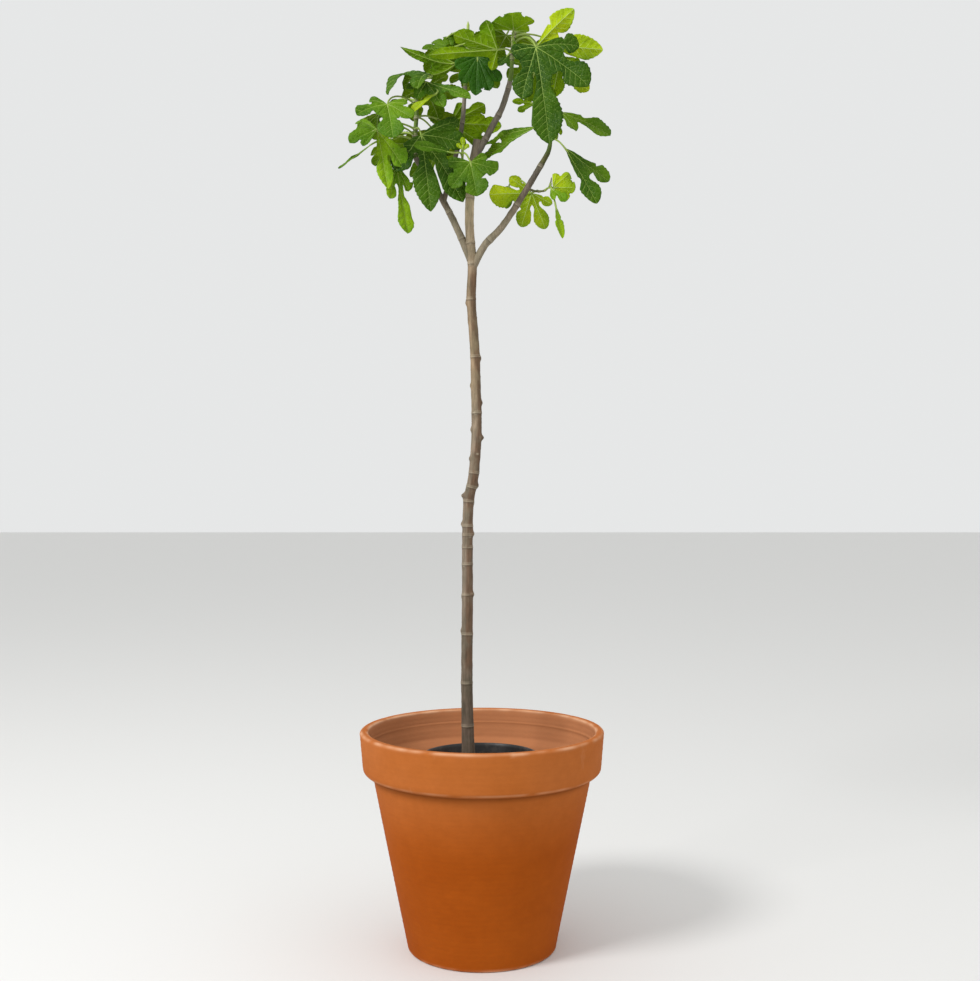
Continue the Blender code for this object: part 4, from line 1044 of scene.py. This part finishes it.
def fine_blade(row, points, faces, veins, chance):
    """One leaf's blade: a fan of lobes round the hub that part at the notches, quilted
    between its veins, with a scalloped and waving edge."""
    hub, forward, lobes = leaf_ribs(row)
    notches = notch_reaches(row, lobes)
    size = max(lobe["length"] for lobe in lobes)
    grow = min(1.0, size / 0.09)
    facing = across_to(row["face"], forward)
    crumple_seed = chance.uniform(0, 50)

    def border(first, share):
        return seam_point(row, hub, forward, lobes[first], lobes[first + 1], notches[first] * share)

    for n, lobe in enumerate(lobes):
        beside = [notches[n - 1] if n > 0 else None, notches[n] if n < len(notches) else None]
        start_u = notch_free(lobe, beside)
        gaps = [abs(lobe["turn"] - lobes[n - 1]["turn"]) if n > 0 else math.pi,
                abs(lobes[n + 1]["turn"] - lobe["turn"]) if n < len(notches) else math.pi]
        inner_rows = max(4, round(start_u * lobe["length"] / ROW_STEP))
        outer_rows = max(8, round((1 - start_u) * lobe["length"] / ROW_STEP))
        phases = chance.uniform(0, 6.28), chance.uniform(0, 6.28)
        grid, runs = [], []
        for step in range(inner_rows + outer_rows + 1):
            inner = step <= inner_rows
            if inner:
                u = start_u * step / inner_rows
            else:
                u = start_u + (1 - start_u) * (1 - (1 - (step - inner_rows) / outer_rows) ** 1.25)
            centre, along = on_line(lobe["line"], u)
            outward = across_to(lobe["side"], along)
            up = np.cross(outward, along)
            s = u * lobe["length"]
            edges = []
            for sign, reach, gap, seam in ((-1, beside[0], gaps[0], n - 1), (1, beside[1], gaps[1], n)):
                if inner and reach:
                    edges.append(border(seam, step / inner_rows) if step else hub)
                    continue
                start_width = 0.62 * lobe["half"]
                way = sign * outward
                if reach:
                    start = border(seam, 1) - on_line(lobe["line"], start_u)[0]
                    start_width = np.linalg.norm(start)
                    past = smooth((u - start_u) / 0.25)
                    way = unit(unit(start) * (1 - past) + sign * outward * past)
                if inner:
                    width = start_width * (step / inner_rows) ** 0.8
                else:
                    width = half_width(u, start_u, start_width, row["widest"], lobe["half"], row["point"])
                    tooth = math.sin(2 * math.pi * s / (SCALLOP_STEP * grow) + phases[0] * sign)
                    width *= 1 + SCALLOP * tooth * smooth((u - start_u) / 0.15)
                    if gap < math.pi:
                        width = min(width, SECTOR * np.linalg.norm(centre - hub) * math.sin(gap / 2))
                edges.append(centre + way * width)
            first = len(points)
            for t in np.arange(-ACROSS, ACROSS + 1) / ACROSS:
                half = 0 if t < 0 else 1
                part, width = abs(t), np.linalg.norm(edges[half] - centre)
                point = centre + (edges[half] - centre) * part
                seam_side = inner and beside[half]
                lift = ARCH * width * (part ** SUNKEN - (part if seam_side else 0))
                phase = (s - VEIN_SLOPE * part * width) / (VEIN_SPACING * grow) + 0.5 * (t < 0)
                ramp = smooth(part * width / (5 * MM)) * (1 - (1 if seam_side else 0.6) * part ** 4)
                lift += QUILT * grow * abs(math.sin(math.pi * phase)) ** 0.8 * ramp
                if not seam_side:
                    wave = math.sin(2 * math.pi * s / WAVE_STEP + phases[half])
                    lift += WAVE * grow * part ** 2 * wave * smooth((u - start_u * 0.6) / 0.3) * (1 - 0.5 * u)
                away = smooth(np.linalg.norm(point - hub) / (0.35 * size))
                crumple = CRUMPLE * grow * away * rough(point, CRUMPLE_SCALE, crumple_seed)
                points.append(point + up * lift + facing * crumple)
            if step:
                for i in range(first, first + 2 * ACROSS):
                    before = i - 2 * ACROSS - 1
                    faces.append((before, before + 1, i + 1, i))
            grid.append(points[first:])
            runs.append(s)
        add_veins(lobe, np.array(grid), np.array(runs), grow, veins)


def on_grid(grid, runs, s, t):
    """The blade's point at a distance along a lobe and a share across it, -1 to 1."""
    row = min(max(np.interp(s, runs, np.arange(len(runs))), 0), len(runs) - 1.001)
    column = min(max((t + 1) * ACROSS, 0), 2 * ACROSS - 0.001)
    k, i = int(row), int(column)
    a, b = row - k, column - i
    return ((grid[k, i] * (1 - b) + grid[k, i + 1] * b) * (1 - a)
            + (grid[k + 1, i] * (1 - b) + grid[k + 1, i + 1] * b) * a)


def add_veins(lobe, grid, runs, grow, veins):
    """The rib of a lobe and the side veins that leave it."""
    length, spacing = lobe["length"], VEIN_SPACING * grow
    rib_line = grid[:, ACROSS]
    add_tube(rib_line, np.linspace(*RIB_RADII, len(rib_line)) * max(grow, 0.55), 6, *veins)
    for side in (-1, 1):
        widths = np.linalg.norm(grid[:, 0 if side < 0 else -1] - rib_line, axis=1)
        for root in np.arange(0.5 if side < 0 else 1, 0.94 * length / spacing) * spacing:
            line = []
            for w in np.arange(0, 0.1, VEIN_STEP):
                s = root + VEIN_SLOPE * w
                width = np.interp(s, runs, widths)
                if s > 0.985 * length or w > 0.93 * width:
                    break
                line.append(on_grid(grid, runs, s, side * w / max(width, 1e-6)))
            if len(line) > 1:
                add_tube(np.array(line), np.linspace(*VEIN_RADII, len(line)) * max(grow, 0.6), 4, *veins)


def add_tube(line, radii, sides, points, faces):
    """Adds one slim tube."""
    start = len(points)
    for centre, radius, (sideways, forward) in zip(line, radii, frames(line, np.array((0.31, 0.52, 0.8)))):
        for turn in turns(sides):
            points.append(centre + (sideways * math.cos(turn) + forward * math.sin(turn)) * radius)
    faces += grid_faces(len(line), sides, start)
    faces += [tuple(range(start, start + sides))[::-1], tuple(range(len(points) - sides, len(points)))]


def swollen_ends(count):
    """A leaf stalk is thicker where it meets the shoot and the blade."""
    share = np.linspace(0, 1, count)
    return 1 + 0.45 * np.exp(-(share / 0.07) ** 2) + 0.25 * np.exp(-((share - 0.86) / 0.08) ** 2)


def make_mass(name, finishes):
    _, _, thick, thin, rows = MASSES[name]
    line, start = shoot_line(name)
    line = line[start:]
    chance = random.Random(f"{VARIETY_SEED} {name}")
    far_rows = [far_leaf(*place, chance) for place in FAR_SIDE[name]]
    look = random.Random(f"look {name}")
    leaf_tones = [*LEAF_TONES[name].split(), *(look.choice(FAR_TONES) for _ in far_rows)]
    # the points and faces of each kind of piece
    blades, veins, stalks = ([], []), ([], []), ([], [])
    blade_tones, vein_tones, nodes = [], [], []
    for tone, row in zip(leaf_tones, (*rows, *far_rows)):
        fine_blade(row, *blades, veins, look)
        hub, forward, _ = leaf_ribs(row)
        stalk = stalk_line(line, hub, forward)
        nodes.append(stalk[0])
        radii = np.linspace(STALK_RADIUS, STALK_TIP_RADIUS, len(stalk)) * swollen_ends(len(stalk))
        add_tube(stalk, radii, 8, *stalks)
        for (_, faces), tones in ((blades, blade_tones), (veins, vein_tones)):
            tones += [list(TONES).index(tone)] * (len(faces) - len(tones))
    made = add_mesh(name.replace("foliage", "leaves"), *blades, finishes["blades"], "leaf", 1e-5, blade_tones)
    shell = made.modifiers.new("thickness", "SOLIDIFY")
    shell.thickness = BLADE
    shell.offset = 0
    shell.material_offset = len(TONES)
    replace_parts(made, name)
    add_mesh(name.replace("foliage", "veins"), *veins, finishes["veins"], "leaf", tones=vein_tones)
    add_mesh(name.replace("foliage", "stalks"), *stalks, [finishes["stalks"]], "leaf")
    make_shoot(name, line, thick, thin, nodes, finishes["shoots"])


def make_shoot(name, line, thick, thin, nodes, finish):
    """The green tip of a limb, swollen where each stalk leaves it, with a bud at its end."""
    line = resampled(line, SHOOT_STEP)
    run = run_of(line)
    radii = (thick + (thin - thick) * run / run[-1]) * CM
    where = [run[int(np.argmin(np.linalg.norm(line - node, axis=1)))] for node in nodes]
    where = [s for s in where if 4 * MM < s < run[-1] - 4 * MM]
    limb(name.replace("foliage", "shoot"), line, radii, 14, finish, where, seed=20.0, tip_cap=3.0,
         tip_mark=0.0, slot="leaf")


def make_foliage():
    uppers, unders, veins = [], [], []
    for tone, (upper, under, vein) in TONES.items():
        uppers.append(leaf_material(f"leaf_{tone}", upper, vein, 0.48, 0.10))
        unders.append(leaf_material(f"leaf_{tone}_under", under, vein, 0.75, 0.04))
        veins.append(plain_material(f"vein_{tone}", vein, 0.5))
    shoots = bark_material("shoot", (
        (1.18, (0.14, 0.18, 0.045)), (1.26, (0.13, 0.14, 0.05)), (1.285, (0.075, 0.075, 0.022)),
        (1.30, (0.070, 0.120, 0.012)), (1.32, (0.11, 0.18, 0.03)), (1.46, (0.12, 0.19, 0.03)),
        (1.52, (0.34, 0.44, 0.12))))
    stalks = plain_material("stalk", (0.26, 0.36, 0.06), 0.45)
    finishes = dict(blades=uppers + unders, veins=veins, shoots=shoots, stalks=stalks)
    for name in MASSES:
        make_mass(name, finishes)


# The photo's camera: its place in metres, its focal length and its picture's width in
# pixels, and a sensor of a common width in millimetres.
CAMERA = (0.0131, -2.03, 0.7468)
FOCAL_PIXELS = 1233.4
PHOTO_PIXELS = 981
SENSOR = 36


def area_light(name, place, target, size, power):
    data = bpy.data.lights.new(name, "AREA")
    data.shape = "DISK"
    data.size = size
    data.energy = power
    made = bpy.data.objects.new(name, data)
    made.location = place
    made.rotation_euler = (Vector(target) - Vector(place)).to_track_quat("-Z", "Y").to_euler()
    bpy.context.scene.collection.objects.link(made)


def make_stage():
    scene = bpy.context.scene
    scene.view_settings.view_transform = "Standard"
    camera = bpy.data.cameras.new("camera")
    camera.sensor_width = SENSOR
    camera.lens = FOCAL_PIXELS * SENSOR / PHOTO_PIXELS
    placed = bpy.data.objects.new("camera", camera)
    placed.location = CAMERA
    placed.rotation_euler = (math.radians(90), 0, 0)
    scene.collection.objects.link(placed)
    scene.camera = placed
    world = bpy.data.worlds.new("studio")
    world.use_nodes = True
    background = world.node_tree.nodes["Background"]
    background.inputs["Color"].default_value = (0.90, 0.91, 0.91, 1)
    background.inputs["Strength"].default_value = 0.88
    scene.world = world
    bpy.ops.mesh.primitive_plane_add(size=40, location=(0, 0, -0.0005))
    floor = bpy.context.object
    floor.name = "floor"
    floor.data.materials.append(Surface("floor", 0.8, 0.2).done((0.78, 0.775, 0.76)))
    area_light("key", (-2.4, -2.2, 3.4), (0, 0, 1.0), 1.3, 112)
    area_light("fill", (2.6, -2.0, 2.0), (0, 0, 0.8), 2.4, 5)


make_stage()
make_pot()
make_nursery_pot()
make_compost()
make_trunk()
make_boughs()
make_foliage()
